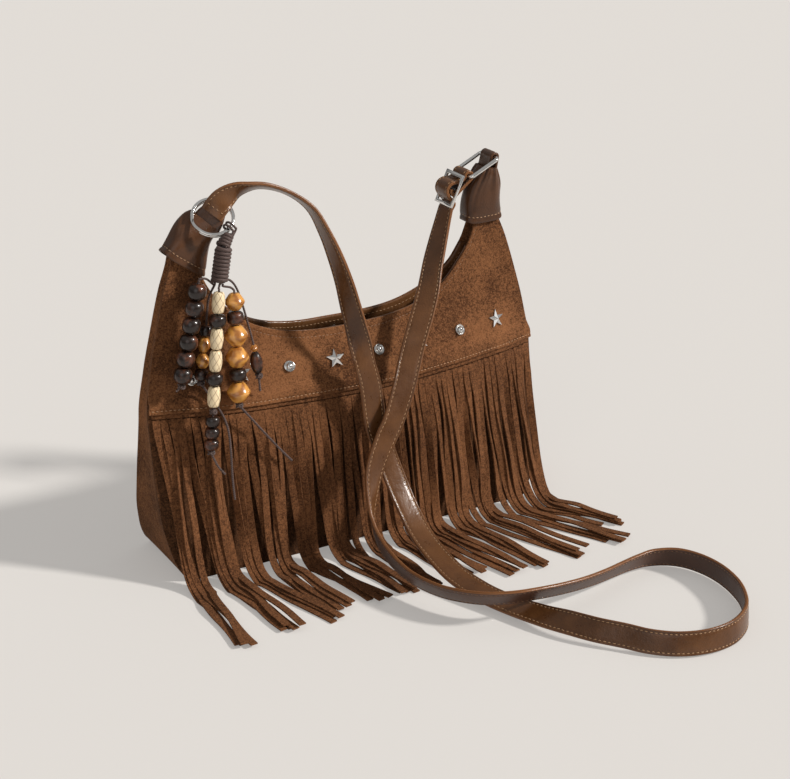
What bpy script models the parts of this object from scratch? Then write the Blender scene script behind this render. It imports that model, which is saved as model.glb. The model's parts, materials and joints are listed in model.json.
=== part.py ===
"""A suede shoulder bag with a long fringe, studs, a leather strap and a charm of wooden beads.

Lengths are in metres. X runs along the bag, -Y is its front, and it stands on the plane Z = 0.
"""

import math
import random

import bmesh
import bpy
import numpy as np
from mathutils import Matrix, Vector

MM = 0.001

# Sheets and clearances
SUEDE = 1.6 * MM
LEATHER = 1.4 * MM
LINING = 0.8 * MM
GAP = 0.3 * MM
LINING_EASE = 3 * MM
LINING_DROP = 5 * MM
LINING_TOP = 190 * MM

# Bag body
HALF_WIDTH = 150 * MM
NECK_HEIGHT = 220 * MM
NECK_TOP_INNER = 214 * MM
NECK_TOP_OUTER = 227 * MM
SEAM_HEIGHT = 112 * MM
SEAM_RISE = 3 * MM
MOUTH_LOW = 151.5 * MM
MOUTH_RISE = 61.5 * MM
MOUTH_SHARE = 0.86
MOUTH_POWER = 3
BACK_EXTRA = 2 * MM
BASE_DEPTH = 35 * MM
BELLY_DEPTH = 36 * MM
MOUTH_DEPTH = 8.5 * MM
NECK_DEPTH = 4.5 * MM
RIGHT_LEAN = 3 * MM
# Share of the neck's height against share of the half width, and against share of each depth.
SIDE_SHAPE = ((0, 0.887), (0.03, 0.925), (0.09, 0.96), (0.2, 0.99), (0.36, 1), (0.5, 1),
              (0.64, 0.97), (0.77, 0.923), (0.89, 0.872), (0.97, 0.828), (1.05, 0.8))
EDGE_FALL = ((0, 1), (0.14, 0.7), (0.28, 0.44), (0.41, 0.24), (0.51, 0.12), (0.7, 0.04), (0.95, 0))
BELLY_FALL = ((0, 0.97), (0.14, 1), (0.28, 0.95), (0.41, 0.82), (0.51, 0.69), (0.6, 0.47),
              (0.69, 0.07), (0.88, 0), (1.2, 0))

# Front yoke, which overlaps the top of the fringe
OVERLAP = 6 * MM
RAMP = 7 * MM
FRINGE_SKIN = 1.2 * MM

# Mouth facings and magnetic snap
FACING_DEPTH = 22 * MM
WALL_STEP = 0.12
FACING_SHARE = 0.75
SNAP_RADIUS = 5 * MM
SNAP_THICKNESS = 2 * MM

# Fringe
STRIPS = 58
STRIP_WIDTH = 4.2 * MM
HEADER_DEPTH = 9 * MM
LAYER_STEP = 1.8 * MM
FLOOR_LIFT = 0.9 * MM
SWAY = 1.3 * MM
RUN_OUT = 103 * MM
# Distance out from the panel against height, from the header to the floor.
FALL = ((1, 84), (2, 58), (7, 34), (18, 14), (42, 2))

# Studs
STUD_PITCH = 34 * MM
STUD_HEIGHT = 133.6 * MM
STUD_RISE = 2 * MM
STUDS = 8
ROUND_STUD_RADIUS = 3.6 * MM
STAR_RADIUS = 7.2 * MM
STAR_WAIST = 3.1 * MM
STUD_STAND_OFF = 0.35 * MM

# Strap
STRAP_WIDTH = 16 * MM
STRAP_THICKNESS = 2.6 * MM
STRAP_STEP = 12 * MM
TAB_WIDTH = 14 * MM
TAB_THICKNESS = 2 * MM
TAB_UNDER_STRAP = 4 * MM

# Right-hand hardware
WIRE = 2.8 * MM
RING_LENGTH = 24 * MM
RING_WIDTH = 21.5 * MM
RING_CORNER = 2.6 * MM
RING_CENTRE = Vector((110.2, 0, 247.6)) * MM
RING_AXIS = Vector((0.898, 0, 0.44)).normalized()
SLIDER_CENTRE = Vector((88.5, 0, 233.5)) * MM
SLIDER_UP = Vector((0.42, 0, 0.908)).normalized()
SLIDER_WIDTH = 22 * MM
SLIDER_LENGTH = 24 * MM
SLIDER_BAR = 2.4 * MM
SLIDER_PLATE = 1.8 * MM

# Key ring and charm
KEY_RING_CENTRE = Vector((-95.1, -8.5, 242.2)) * MM
KEY_RING_RADIUS = 13.3 * MM
KEY_RING_WIRE = 1.6 * MM
KEY_RING_GAP = 0.25 * MM
KEY_RING_CROSSING = 0.06
RING_LEVER = 4 * MM
ACROSS = Vector((0.5, -0.7, -0.5)).normalized()
KEY_RING_UP = Vector((0.846, 0.287, 0.464))
WRAP_TOP = Vector((-93, -20, 226)) * MM
WRAP_BOTTOM = Vector((-97.4, -20, 201.5)) * MM
WRAP_RADIUS = 5.4 * MM
WRAP_TURNS = 10
LOOP_RADIUS = 3.4 * MM
CORD = 1.5 * MM
BORE = 1.05 * MM
BEAD_GAP = 0.3 * MM
BEAD_SIDES = 8

SUEDE_BROWN = (0.13, 0.055, 0.022)
LEATHER_BROWN = (0.10, 0.042, 0.018)
CORD_BROWN = (0.055, 0.032, 0.024)


def clear_scene():
    for block in list(bpy.data.objects):
        bpy.data.objects.remove(block, do_unlink=True)


def finish(name, mesh_maker, colour, roughness, metallic=0.0, smooth=True):
    """A mesh object with its own material, its faces turned outwards."""
    mesh = bpy.data.meshes.new(name)
    mesh_maker.normal_update()
    bmesh.ops.recalc_face_normals(mesh_maker, faces=mesh_maker.faces)
    mesh_maker.to_mesh(mesh)
    mesh_maker.free()
    if smooth:
        mesh.shade_smooth()
        mesh.set_sharp_from_angle(angle=math.radians(35))
    made = bpy.data.objects.new(name, mesh)
    bpy.context.scene.collection.objects.link(made)
    give_material(made, colour, roughness, metallic)
    return made


def give_material(made, colour, roughness, metallic):
    material = bpy.data.materials.new(made.name)
    material.use_nodes = True
    shader = material.node_tree.nodes["Principled BSDF"]
    shader.inputs["Base Color"].default_value = (*colour, 1)
    shader.inputs["Roughness"].default_value = roughness
    shader.inputs["Metallic"].default_value = metallic
    made.data.materials.append(material)


def share(table, at):
    """Reads a small shape table, with straight lines between its rows."""
    return float(np.interp(at, [row[0] for row in table], [row[1] for row in table]))


def half_width(z):
    return HALF_WIDTH * share(SIDE_SHAPE, z / NECK_HEIGHT)


def edge_depth(z):
    """Half the bag's depth at its side edges."""
    return NECK_DEPTH + (BASE_DEPTH - NECK_DEPTH) * share(EDGE_FALL, z / NECK_HEIGHT)


def middle_depth(z):
    """Half the bag's depth on its middle line."""
    floor = MOUTH_DEPTH if z < MOUTH_LOW else edge_depth(z) + (MOUTH_DEPTH - NECK_DEPTH) * 0.6
    return max(edge_depth(z), floor + (BELLY_DEPTH - floor) * share(BELLY_FALL, z / NECK_HEIGHT))


def depth(x, z):
    """Half the bag's depth at any place on its front or back."""
    bulge = max(0.0, 1 - (x / half_width(z)) ** 2)
    return edge_depth(z) + (middle_depth(z) - edge_depth(z)) * bulge


def lean(z):
    """The bag slumps a little towards its right end, most of all at the seam."""
    return RIGHT_LEAN * math.sin(math.pi * min(1.0, z / NECK_HEIGHT))


def seam_height(u):
    return SEAM_HEIGHT + SEAM_RISE * u * u


def top_height(u, extra=0.0):
    """The mouth's curve, and beyond it the top of the two necks."""
    if abs(u) <= MOUTH_SHARE:
        return MOUTH_LOW + extra + (MOUTH_RISE - extra) * (abs(u) / MOUTH_SHARE) ** MOUTH_POWER
    return NECK_TOP_INNER + (NECK_TOP_OUTER - NECK_TOP_INNER) * (abs(u) - MOUTH_SHARE) / (1 - MOUTH_SHARE)


def grid_solid(name, outer, inner, *look):
    """A thin closed solid between two grids of points of the same size."""
    maker = bmesh.new()
    rows, columns = len(outer), len(outer[0])
    front = [[maker.verts.new(p) for p in row] for row in outer]
    back = [[maker.verts.new(p) for p in row] for row in inner]
    for r in range(rows - 1):
        for c in range(columns - 1):
            maker.faces.new((front[r][c], front[r][c + 1], front[r + 1][c + 1], front[r + 1][c]))
            maker.faces.new((back[r][c], back[r + 1][c], back[r + 1][c + 1], back[r][c + 1]))
    rim = [(0, c) for c in range(columns)] + [(r, columns - 1) for r in range(1, rows)]
    rim += [(rows - 1, c) for c in range(columns - 2, -1, -1)] + [(r, 0) for r in range(rows - 2, 0, -1)]
    for (r, c), (r2, c2) in zip(rim, rim[1:] + rim[:1]):
        maker.faces.new((front[r][c], back[r][c], back[r2][c2], front[r2][c2]))
    return finish(name, maker, *look)


def panel_point(side, u, z, offset):
    """A place on the front (side -1) or back (side +1), moved outwards by offset."""
    x = u * half_width(z)
    return Vector((x + lean(z), side * (depth(x, z) + offset), z))


def columns_of(step, limit=1.0):
    """Places across the panel, closer together at the corners of the mouth."""
    half = [step * k for k in range(math.ceil((MOUTH_SHARE - 0.08) / step))]
    half += [MOUTH_SHARE - 0.06, MOUTH_SHARE, MOUTH_SHARE + 0.03, 0.95, 1.0]
    half = [u for u in half if u <= limit]
    return [-u for u in reversed(half)] + half[1:]


LOW_HEIGHTS = [SEAM_HEIGHT * part for part in (0, 0.036, 0.107, 0.232, 0.393, 0.554, 0.714, 0.857)]


def upper_heights(u, extra=0.0):
    """Levels from the top of the ramp to the edge. The facings use the last three as they are."""
    low, top = seam_height(u) + OVERLAP + RAMP, top_height(u, extra)
    shoulder = top - FACING_DEPTH
    return [low, low + (shoulder - low) / 3, low + (shoulder - low) * 2 / 3,
            shoulder, top - FACING_DEPTH / 2, top]


def by_level(columns, heights_of, place):
    """A grid of points from a list of heights in each column."""
    lists = [heights_of(u) for u in columns]
    return [[place(u, heights[k]) for u, heights in zip(columns, lists)] for k in range(len(lists[0]))]


def front_panel():
    columns = columns_of(0.2)

    def heights(u):
        return LOW_HEIGHTS + [seam_height(u) + OVERLAP - GAP]

    outer = by_level(columns, heights, lambda u, z: panel_point(-1, u, z, 0))
    inner = by_level(columns, heights, lambda u, z: panel_point(-1, u, z, -SUEDE))
    grid_solid("front_panel", outer, inner, SUEDE_BROWN, 0.95)


def yoke_offset(rise):
    """How far out the yoke's inner face lies: over the fringe's header at its edge, then back."""
    over_header = FRINGE_SKIN + 2 * GAP
    ramp = min(1.0, max(0.0, (rise - OVERLAP) / RAMP))
    return over_header + (-SUEDE - over_header) * ramp


def yoke_heights(u):
    seam = seam_height(u)
    return [seam, seam + OVERLAP / 2, seam + OVERLAP, seam + OVERLAP + RAMP / 2] + upper_heights(u)


def front_yoke():
    columns = columns_of(WALL_STEP)

    def place(thickness):
        return lambda u, z: panel_point(-1, u, z, yoke_offset(z - seam_height(u)) + thickness)

    outer = by_level(columns, yoke_heights, place(SUEDE))
    inner = by_level(columns, yoke_heights, place(0))
    grid_solid("front_yoke", outer, inner, SUEDE_BROWN, 0.95)


def back_panel():
    columns = columns_of(WALL_STEP)

    def heights(u):
        return LOW_HEIGHTS + [seam_height(u)] + upper_heights(u, BACK_EXTRA)

    outer = by_level(columns, heights, lambda u, z: panel_point(1, u, z, 0))
    inner = by_level(columns, heights, lambda u, z: panel_point(1, u, z, -SUEDE))
    grid_solid("back_panel", outer, inner, SUEDE_BROWN, 0.95)


def gusset():
    """One band from neck to neck, down one end, along the bottom and up the other."""
    heights = [NECK_HEIGHT * part for part in (1, 0.91, 0.82, 0.73, 0.64, 0.55, 0.455, 0.364,
                                               0.273, 0.19, 0.12, 0.06, 0.023)]
    left = [(lean(z) - half_width(z), z) for z in heights]
    right = [(lean(z) + half_width(z), z) for z in reversed(heights)]
    bottom = [(half_width(0) * part, 0.0) for part in (-1, -0.6, -0.2, 0.2, 0.6, 1)]
    path = [Vector(p) for p in left + bottom + right]
    outer, inner = [], []
    for i, here in enumerate(path):
        along = (path[min(i + 1, len(path) - 1)] - path[max(i - 1, 0)]).normalized()
        inward = Vector((-along.y, along.x))
        if 0 < i < len(path) - 1:
            turn = (path[i + 1] - here).normalized().dot((here - path[i - 1]).normalized())
            inward *= 1 / math.sqrt(max(0.25, (1 + turn) / 2))
        inside = here + inward * SUEDE
        deep = edge_depth(inside.y) - SUEDE - 3 * GAP
        outer.append([Vector((here.x, y, here.y)) for y in (-deep, deep)])
        inner.append([Vector((inside.x, y, inside.y)) for y in (-deep, deep)])
    grid_solid("gusset", outer, inner, SUEDE_BROWN, 0.95)


def facing(name, side, extra):
    """The smooth leather band inside the mouth, on one wall."""
    columns = columns_of(WALL_STEP, FACING_SHARE)
    start = -SUEDE - GAP

    def heights(u):
        return upper_heights(u, extra)[-3:]

    outer = by_level(columns, heights, lambda u, z: panel_point(side, u, z, start))
    inner = by_level(columns, heights, lambda u, z: panel_point(side, u, z, start - LEATHER))
    grid_solid(name, outer, inner, LEATHER_BROWN, 0.35)


def lining():
    """The pouch inside: an open bag of thin cloth that hangs below the facings."""
    columns = [-0.93, -0.75, -0.45, -0.15, 0.15, 0.45, 0.75, 0.93]
    parts = [0, 0.04, 0.14, 0.3, 0.46, 0.6, 0.73, 0.86, 1]
    maker = bmesh.new()

    def ring(part, ease):
        made = []
        for side in (-1, 1):
            for u in columns if side < 0 else reversed(columns):
                low = SUEDE + LINING_EASE / 2 + ease
                top = min(top_height(u), LINING_TOP) - FACING_DEPTH - LINING_DROP
                z = low + (top - low) * part
                hangs = LINING_EASE / 2 if part == 1 and abs(u) < 0.3 else LINING_EASE
                inward = SUEDE + hangs + ease
                narrow = (1 if part else 0.97) - 1.5 * ease / HALF_WIDTH
                made.append(maker.verts.new(panel_point(side, u * narrow, z, -inward)))
        return made

    outer = [ring(part, 0) for part in parts]
    inner = [ring(part, LINING) for part in parts]
    for shell in (outer, inner):
        for low, high in zip(shell, shell[1:]):
            for i in range(len(low)):
                j = (i + 1) % len(low)
                maker.faces.new((low[i], low[j], high[j], high[i]))
        maker.faces.new(shell[0])
    for i in range(len(outer[-1])):
        j = (i + 1) % len(outer[-1])
        maker.faces.new((outer[-1][i], outer[-1][j], inner[-1][j], inner[-1][i]))
    finish("lining", maker, (0.05, 0.03, 0.02), 0.8)


def fringe():
    """A header sewn under the yoke and the strips cut in it, as one piece of suede.

    Every second strip lies a step further out, so that neighbours cross without touching.
    """
    random.seed(7)
    maker = bmesh.new()
    pitch = 2 * 0.985 / STRIPS
    share_of_width = STRIP_WIDTH / HALF_WIDTH / 2
    edges = []
    for i in range(STRIPS):
        middle = -0.985 + pitch * (i + 0.5)
        edges += [middle - share_of_width, middle + share_of_width]

    def header_corner(u, z, out):
        return maker.verts.new(panel_point(-1, u, z, out))

    out_front, out_back = GAP + FRINGE_SKIN, GAP
    levels = []
    for drop in (-OVERLAP + 2 * GAP, HEADER_DEPTH):
        levels.append([(header_corner(u, seam_height(u) - drop, out_front),
                        header_corner(u, seam_height(u) - drop, out_back)) for u in edges])
    top, bottom = levels
    last = len(edges) - 1
    for k in range(last):
        maker.faces.new((top[k][0], top[k + 1][0], bottom[k + 1][0], bottom[k][0]))
        maker.faces.new((top[k][1], bottom[k][1], bottom[k + 1][1], top[k + 1][1]))
        maker.faces.new((top[k][0], top[k][1], top[k + 1][1], top[k + 1][0]))
        if k % 2:
            maker.faces.new((bottom[k][0], bottom[k + 1][0], bottom[k + 1][1], bottom[k][1]))
    maker.faces.new((top[0][0], bottom[0][0], bottom[0][1], top[0][1]))
    maker.faces.new((top[last][0], top[last][1], bottom[last][1], bottom[last][0]))
    for i in range(STRIPS):
        left, right = bottom[2 * i], bottom[2 * i + 1]
        sections = strip_sections(maker, i, (edges[2 * i] + edges[2 * i + 1]) / 2)
        before = [left[0], right[0], right[1], left[1]]
        for section in sections:
            for k in range(4):
                maker.faces.new((before[k], before[(k + 1) % 4], section[(k + 1) % 4], section[k]))
            before = section
        maker.faces.new(before)
    finish("fringe", maker, SUEDE_BROWN, 0.95)


def strip_sections(maker, index, u):
    """The corner points of one hanging strip, from below the header to its tip."""
    layer = index % 2
    length = 1 + random.uniform(-0.07, 0.07)
    sway = random.uniform(-SWAY, SWAY)
    root = u * half_width(SEAM_HEIGHT)
    right = max(0.0, u - 0.5) / 0.5
    tip_out = (RUN_OUT - 40 * MM * right ** 2) * length
    tip_side = (12 + 22 * u + 10 * u * u) * MM + sway
    lift = FLOOR_LIFT + layer * LAYER_STEP
    half_skin = FRINGE_SKIN / 2
    top = FALL[0][1]
    points, slopes = [], []
    for out, height in FALL:
        z = height * MM + (lift if height < 30 else 0)
        done = (top - height) / top
        side = tip_side * 0.25 * done ** 2 + sway * done
        x = max(-0.99, min(0.99, (root + side) / half_width(z))) * half_width(z)
        step = layer * LAYER_STEP * min(1.0, 6 * done)
        y = -depth(x, z) - GAP - half_skin - step - out * MM
        points.append(Vector((root + side + lean(SEAM_HEIGHT), y, z)))
        slopes.append(2 * x / half_width(z) ** 2 * (middle_depth(z) - edge_depth(z)))
    start = points[-1]
    out = tip_out - FALL[-1][0] * MM
    points.append(Vector((start.x + tip_side * 0.75, start.y - out, lift)))
    sections = []
    for k, here in enumerate(points):
        along = (points[min(k + 1, len(points) - 1)] - points[max(k - 1, 0)]).normalized()
        across = Vector((1, slopes[k], 0)) if k < 3 else Vector((-along.y, along.x, 0))
        across = (across - along * across.dot(along)).normalized()
        normal = along.cross(across).normalized()
        a, b = across * STRIP_WIDTH / 2, normal * half_skin
        sections.append([maker.verts.new(p) for p in (here - a + b, here + a + b, here + a - b, here - a - b)])
    return sections


def on_yoke(x, z):
    """The place on the yoke's outer face at a distance along the bag and a height."""
    u = max(-1.0, min(1.0, x / half_width(z)))
    levels = yoke_heights(u)
    outs = [depth(u * half_width(h), h) + yoke_offset(h - seam_height(u)) + SUEDE for h in levels]
    return Vector((x + lean(z), -float(np.interp(z, levels, outs)), z))


def stud_seat(x, z, radius):
    """Where a stud of that radius stands on the yoke, clear of it all round, and which way it looks."""
    ways = [2 * math.pi * k / 10 for k in range(10)]
    rim = [on_yoke(x + radius * math.cos(a), z + radius * math.sin(a)) for a in ways]
    normal = Vector((0, 0, 0))
    middle = on_yoke(x, z)
    for near, far in zip(rim, rim[1:] + rim[:1]):
        normal += (near - middle).cross(far - middle)
    normal.normalize()
    highest = max((place - middle).dot(normal) for place in rim)
    return middle + normal * (max(0.0, highest) + STUD_STAND_OFF), normal


def axes_for(direction):
    """Two unit vectors at right angles to a direction and to each other."""
    direction = direction.normalized()
    helper = Vector((0, 0, 1)) if abs(direction.z) < 0.9 else Vector((1, 0, 0))
    first = helper.cross(direction).normalized()
    return first, direction.cross(first)


def lathe(name, profile, start, direction, sides, *look, closed=False):
    """Turns a profile of (radius, height) round an axis. A closed profile leaves a bore."""
    maker = bmesh.new()
    direction = direction.normalized()
    first, second = axes_for(direction)
    rings = []
    for radius, height in profile:
        centre = start + direction * height
        if radius == 0:
            rings.append([maker.verts.new(centre)] * sides)
            continue
        angles = [2 * math.pi * k / sides for k in range(sides)]
        rings.append([maker.verts.new(centre + radius * (first * math.cos(a) + second * math.sin(a)))
                      for a in angles])
    pairs = list(zip(rings, rings[1:] + rings[:1])) if closed else list(zip(rings, rings[1:]))
    for low, high in pairs:
        for k in range(sides):
            corners = [low[k], low[(k + 1) % sides], high[(k + 1) % sides], high[k]]
            maker.faces.new(list(dict.fromkeys(corners)))
    return finish(name, maker, *look)


def round_stud(name, place, normal):
    r = ROUND_STUD_RADIUS
    profile = [(0, 0), (r, 0), (r, 0.6 * MM), (0.7 * r, 0.9 * MM), (0.5 * r, 1.9 * MM), (0, 2.2 * MM)]
    lathe(name, profile, place, normal, 8, (0.8, 0.8, 0.8), 0.15, 1.0)


def star_stud(name, place, normal):
    """A five-pointed star with ridges from its middle to its points."""
    maker = bmesh.new()
    up = (Vector((0, 0, 1)) - normal * normal.z).normalized()
    right = up.cross(normal)
    rims = []
    for height in (0, 0.6 * MM):
        rim = []
        for k in range(10):
            angle = math.pi / 5 * k
            reach = STAR_WAIST if k % 2 else STAR_RADIUS
            flat = up * math.cos(angle) + right * math.sin(angle)
            rim.append(maker.verts.new(place + flat * reach + normal * height))
        rims.append(rim)
    peak = maker.verts.new(place + normal * 2.4 * MM)
    for k in range(10):
        j = (k + 1) % 10
        maker.faces.new((rims[0][k], rims[0][j], rims[1][j], rims[1][k]))
        maker.faces.new((rims[1][k], rims[1][j], peak))
    maker.faces.new(rims[0])
    finish(name, maker, (0.8, 0.8, 0.8), 0.15, 1.0, False)


def studs():
    for k in range(STUDS):
        x = STUD_PITCH * (k - (STUDS - 1) / 2)
        z = STUD_HEIGHT + STUD_RISE * (x / HALF_WIDTH) ** 2
        place, normal = stud_seat(x, z, STAR_RADIUS if k % 2 else ROUND_STUD_RADIUS)
        if k % 2:
            star_stud(f"star_stud_{k // 2 + 1}", place, normal)
        else:
            round_stud(f"round_stud_{k // 2 + 1}", place, normal)


def snap_half(name, side, extra, knob):
    """One half of the magnetic snap, flat on the lower half of the facing's middle."""
    low, high = [panel_point(side, 0, z, -SUEDE - 2 * GAP - LEATHER) for z in upper_heights(0, extra)[-3:-1]]
    up = (high - low).normalized()
    inward = Vector((0, -side * up.z, side * up.y))
    start = (low + high) / 2 + inward * GAP
    r, t = SNAP_RADIUS, SNAP_THICKNESS
    profile = [(0, 0), (r, 0), (r, t * 0.7), (0.85 * r, t), (0.4 * r, t)]
    profile += [(0.4 * r, t + knob), (0, t + knob)] if knob > 0 else [(0.3 * r, 0.5 * t), (0, 0.5 * t)]
    lathe(name, profile, start, inward, 12, (0.75, 0.72, 0.68), 0.3, 1.0)


def sweep(name, centres, sides, normals, profile, *look, closed=False):
    """Carries a profile along a path. Each profile point is (share of side, share of normal)."""
    maker = bmesh.new()
    rings = []
    for centre, side, normal in zip(centres, sides, normals):
        rings.append([maker.verts.new(centre + side * a + normal * b) for a, b in profile])
    pairs = list(zip(rings, rings[1:] + rings[:1])) if closed else list(zip(rings, rings[1:]))
    for low, high in pairs:
        for k in range(len(profile)):
            j = (k + 1) % len(profile)
            maker.faces.new((low[k], low[j], high[j], high[k]))
    if not closed:
        maker.faces.new(rings[0])
        maker.faces.new(rings[-1])
    return finish(name, maker, *look)


def oval_section(width_way, depth_way, half_w, half_d, sides=12):
    """A flattened oval ring of offsets, for a sleeve."""
    made = []
    for k in range(sides):
        angle = 2 * math.pi * k / sides
        c, s = math.cos(angle), math.sin(angle)
        flat = 0.4
        a = math.copysign(abs(c) ** flat, c) * half_w
        b = math.copysign(abs(s) ** flat, s) * half_d
        made.append(width_way * a + depth_way * b)
    return made


def sleeve(name, sections):
    """A leather cap: an open tapered tube of LEATHER thickness.

    Each section is (centre, width direction, depth direction, half width, half depth).
    """
    maker = bmesh.new()
    shells = []
    for thinner in (0, LEATHER):
        rings = []
        for centre, width_way, depth_way, half_w, half_d in sections:
            offsets = oval_section(width_way, depth_way, half_w - thinner, half_d - thinner)
            rings.append([maker.verts.new(centre + o) for o in offsets])
        shells.append(rings)
    for rings in shells:
        for low, high in zip(rings, rings[1:]):
            for k in range(len(low)):
                j = (k + 1) % len(low)
                maker.faces.new((low[k], low[j], high[j], high[k]))
    for end in (0, -1):
        outer, inner = shells[0][end], shells[1][end]
        for k in range(len(outer)):
            j = (k + 1) % len(outer)
            maker.faces.new((outer[k], outer[j], inner[j], inner[k]))
    finish(name, maker, LEATHER_BROWN, 0.4)


def section(centre, width_way, depth_hint, half_w, half_d):
    """One section of a sleeve, its depth direction squared up to its width direction."""
    width_way = Vector(width_way).normalized()
    hint = Vector(depth_hint)
    depth_way = (hint - width_way * hint.dot(width_way)).normalized()
    return Vector(centre) * MM, width_way, depth_way, half_w * MM, half_d * MM


FACE_OUT = Vector((-0.6, -0.7, 0.38)).normalized()


def cap_left():
    front = (0, -1, 0)
    sleeve("cap_left", [
        section((-114.3, 0, 212.3), (0.81, 0, -0.58), front, 17.3, 8.4),
        section((-110.0, 0, 221.4), (0.81, 0, -0.58), front, 15.0, 8.2),
        section((-104.8, -1.4, 229.8), (0.78, -0.2, -0.59), front, 12.4, 7.0),
        section((-100.2, -3.6, 234.8), (0.62, -0.5, -0.6), FACE_OUT, 10.4, 5.0),
        section((-97.4, -4.6, 238.2), ACROSS, FACE_OUT, 9.5, 3.2),
    ])


def cap_right():
    front = (0, -1, 0)
    sleeve("cap_right", [
        section((114.4, 0, 209.0), (1, 0, 0.02), front, 14.8, 8.2),
        section((114.4, 0, 219.0), (1, 0, 0), front, 14.2, 8.4),
        section((115.0, 0, 229.0), (1, 0, -0.1), front, 12.4, 9.2),
        section((116.4, 0, 236.0), (1, 0, -0.15), front, 10.4, 9.8),
        section((117.0, 0, 241.5), (1, 0, -0.15), front, 8.8, 10.2),
    ])


# The strap's route from its sewn left end to the slider: place in mm, and which way its face looks.
# It arches over the mouth, falls down the front, runs out along the floor on its edge, turns back,
# crosses over itself and climbs to the slider.
ROUTE = (
    ((-95.1, -7, 244.1), (-0.6, -0.7, 0.38)), ((-88.8, -8, 251.6), (-0.57, -0.68, 0.46)),
    ((-81, -8, 256), (-0.42, -0.6, 0.68)), ((-71, -7.5, 258), (-0.2, -0.55, 0.81)),
    ((-57, -7.5, 257.5), (0, -0.6, 0.8)), ((-40.5, -10, 251), (0.15, -0.7, 0.7)),
    ((-27.5, -15, 240), (0.25, -0.85, 0.45)), ((-20.5, -21, 224), (0.28, -0.94, 0.2)),
    ((-15.6, -26, 208), (0.2, -0.97, 0.1)), ((-11.6, -30.5, 191), (0.12, -0.99, 0.05)),
    ((-8.9, -34, 175), (0.08, -0.99, 0)), ((-6, -38, 157), (0.04, -1, 0)),
    ((-3.5, -42.5, 137), (0, -1, 0)), ((-0.5, -46, 119), (-0.05, -1, 0)),
    ((0.5, -50, 96), (-0.05, -1, 0)), ((3.9, -53.5, 79), (0, -0.99, 0.1)),
    ((8.2, -61, 59), (0, -0.97, 0.2)), ((11.5, -74, 39), (0, -0.9, 0.42)),
    ((13.4, -94, 22.5), (-0.1, -0.7, 0.7)), ((15.2, -128, 12.5), (-0.2, -0.3, 0.93)),
    ((20.5, -153, 8.5), (-0.24, -0.22, 0.94)), ((27.8, -174, 7), (-0.25, -0.25, 0.93)),
    ((37.5, -200, 8), (-0.35, -0.36, 0.87)), ((46.2, -220.8, 10), (-0.5, -0.55, 0.67)),
    ((55.6, -237, 10.2), (-0.55, -0.68, 0.48)), ((67.1, -251, 9.8), (-0.5, -0.78, 0.36)),
    ((76.2, -262.6, 9.2), (-0.45, -0.84, 0.3)), ((86.4, -271.6, 8.9), (-0.35, -0.89, 0.28)),
    ((95.6, -276.8, 8.8), (-0.25, -0.93, 0.26)), ((104.7, -280, 8.8), (-0.15, -0.95, 0.24)),
    ((115, -281.5, 8.8), (0, -0.97, 0.22)), ((126.5, -280.7, 8.8), (0.2, -0.95, 0.2)),
    ((137.5, -277, 8.8), (0.4, -0.9, 0.15)), ((149, -269.5, 8.8), (0.66, -0.75, 0.1)),
    ((158.5, -258.5, 8.8), (0.85, -0.5, 0.05)), ((168, -240, 8.8), (0.97, -0.2, 0.05)),
    ((172.5, -218, 8.8), (0.99, 0.1, 0.1)), ((170.5, -198, 8.9), (0.85, 0.5, 0.18)),
    ((162, -182.5, 9.1), (0.55, 0.78, 0.26)), ((146.5, -174.8, 9.4), (0.15, 0.92, 0.36)),
    ((130.5, -175.5, 10), (-0.1, 0.88, 0.46)), ((114, -180, 11.4), (-0.2, 0.84, 0.5)),
    ((95.6, -185.6, 13.2), (-0.2, 0.82, 0.54)), ((77, -190, 15.3), (-0.15, 0.8, 0.58)),
    ((58, -192.8, 17.6), (-0.05, 0.8, 0.6)), ((40.5, -193.6, 19.6), (0.05, 0.8, 0.6)),
    ((22, -190.5, 20.2), (0.25, 0.77, 0.59)), ((6.5, -179.5, 18.5), (0.52, 0.62, 0.57)),
    ((-5.6, -163, 17), (0.68, 0.45, 0.55)), ((-12.4, -148, 16.6), (0.79, 0.3, 0.51)),
    ((-16.6, -133.3, 17.2), (0.86, 0.15, 0.44)), ((-19, -119.9, 19.2), (0.89, 0.02, 0.34)),
    ((-20.2, -106, 22.5), (0.9, -0.12, 0.24)), ((-20.2, -94, 27), (0.88, -0.3, 0.12)),
    ((-19.4, -85, 33.5), (0.82, -0.5, 0)), ((-17, -76.5, 44), (0.66, -0.7, -0.1)),
    ((-9, -66.5, 66.5), (0.1, -0.98, -0.1)), ((3.2, -61, 86), (-0.2, -0.97, 0)),
    ((10.8, -58.5, 97), (-0.2, -0.97, 0)), ((23.3, -51, 118), (-0.4, -0.9, 0.02)),
    ((34.5, -41.5, 136), (-0.55, -0.83, 0.05)), ((41.6, -36.5, 147.8), (-0.58, -0.8, 0.1)),
    ((48.6, -31.5, 158), (-0.62, -0.77, 0.15)), ((58, -23.5, 171.8), (-0.7, -0.68, 0.2)),
    ((67.5, -13, 185), (-0.8, -0.5, 0.27)), ((75.5, -6, 198.3), (-0.87, -0.3, 0.33)),
    ((81.8, -1.5, 210.4), (-0.91, -0.1, 0.39)),
)


def smooth_path(points, step):
    """A smooth curve through all the points, with places about step apart."""
    made = []
    for k in range(len(points) - 1):
        a = points[max(k - 1, 0)]
        b, c = points[k], points[k + 1]
        d = points[min(k + 2, len(points) - 1)]
        pieces = max(1, round(float(np.linalg.norm(c[:3] - b[:3])) / step))
        for i in range(pieces):
            t = i / pieces
            made.append(0.5 * (2 * b + (c - a) * t + (2 * a - 5 * b + 4 * c - d) * t * t
                               + (3 * b - a - 3 * c + d) * t ** 3))
    made.append(points[-1])
    return made


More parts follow.
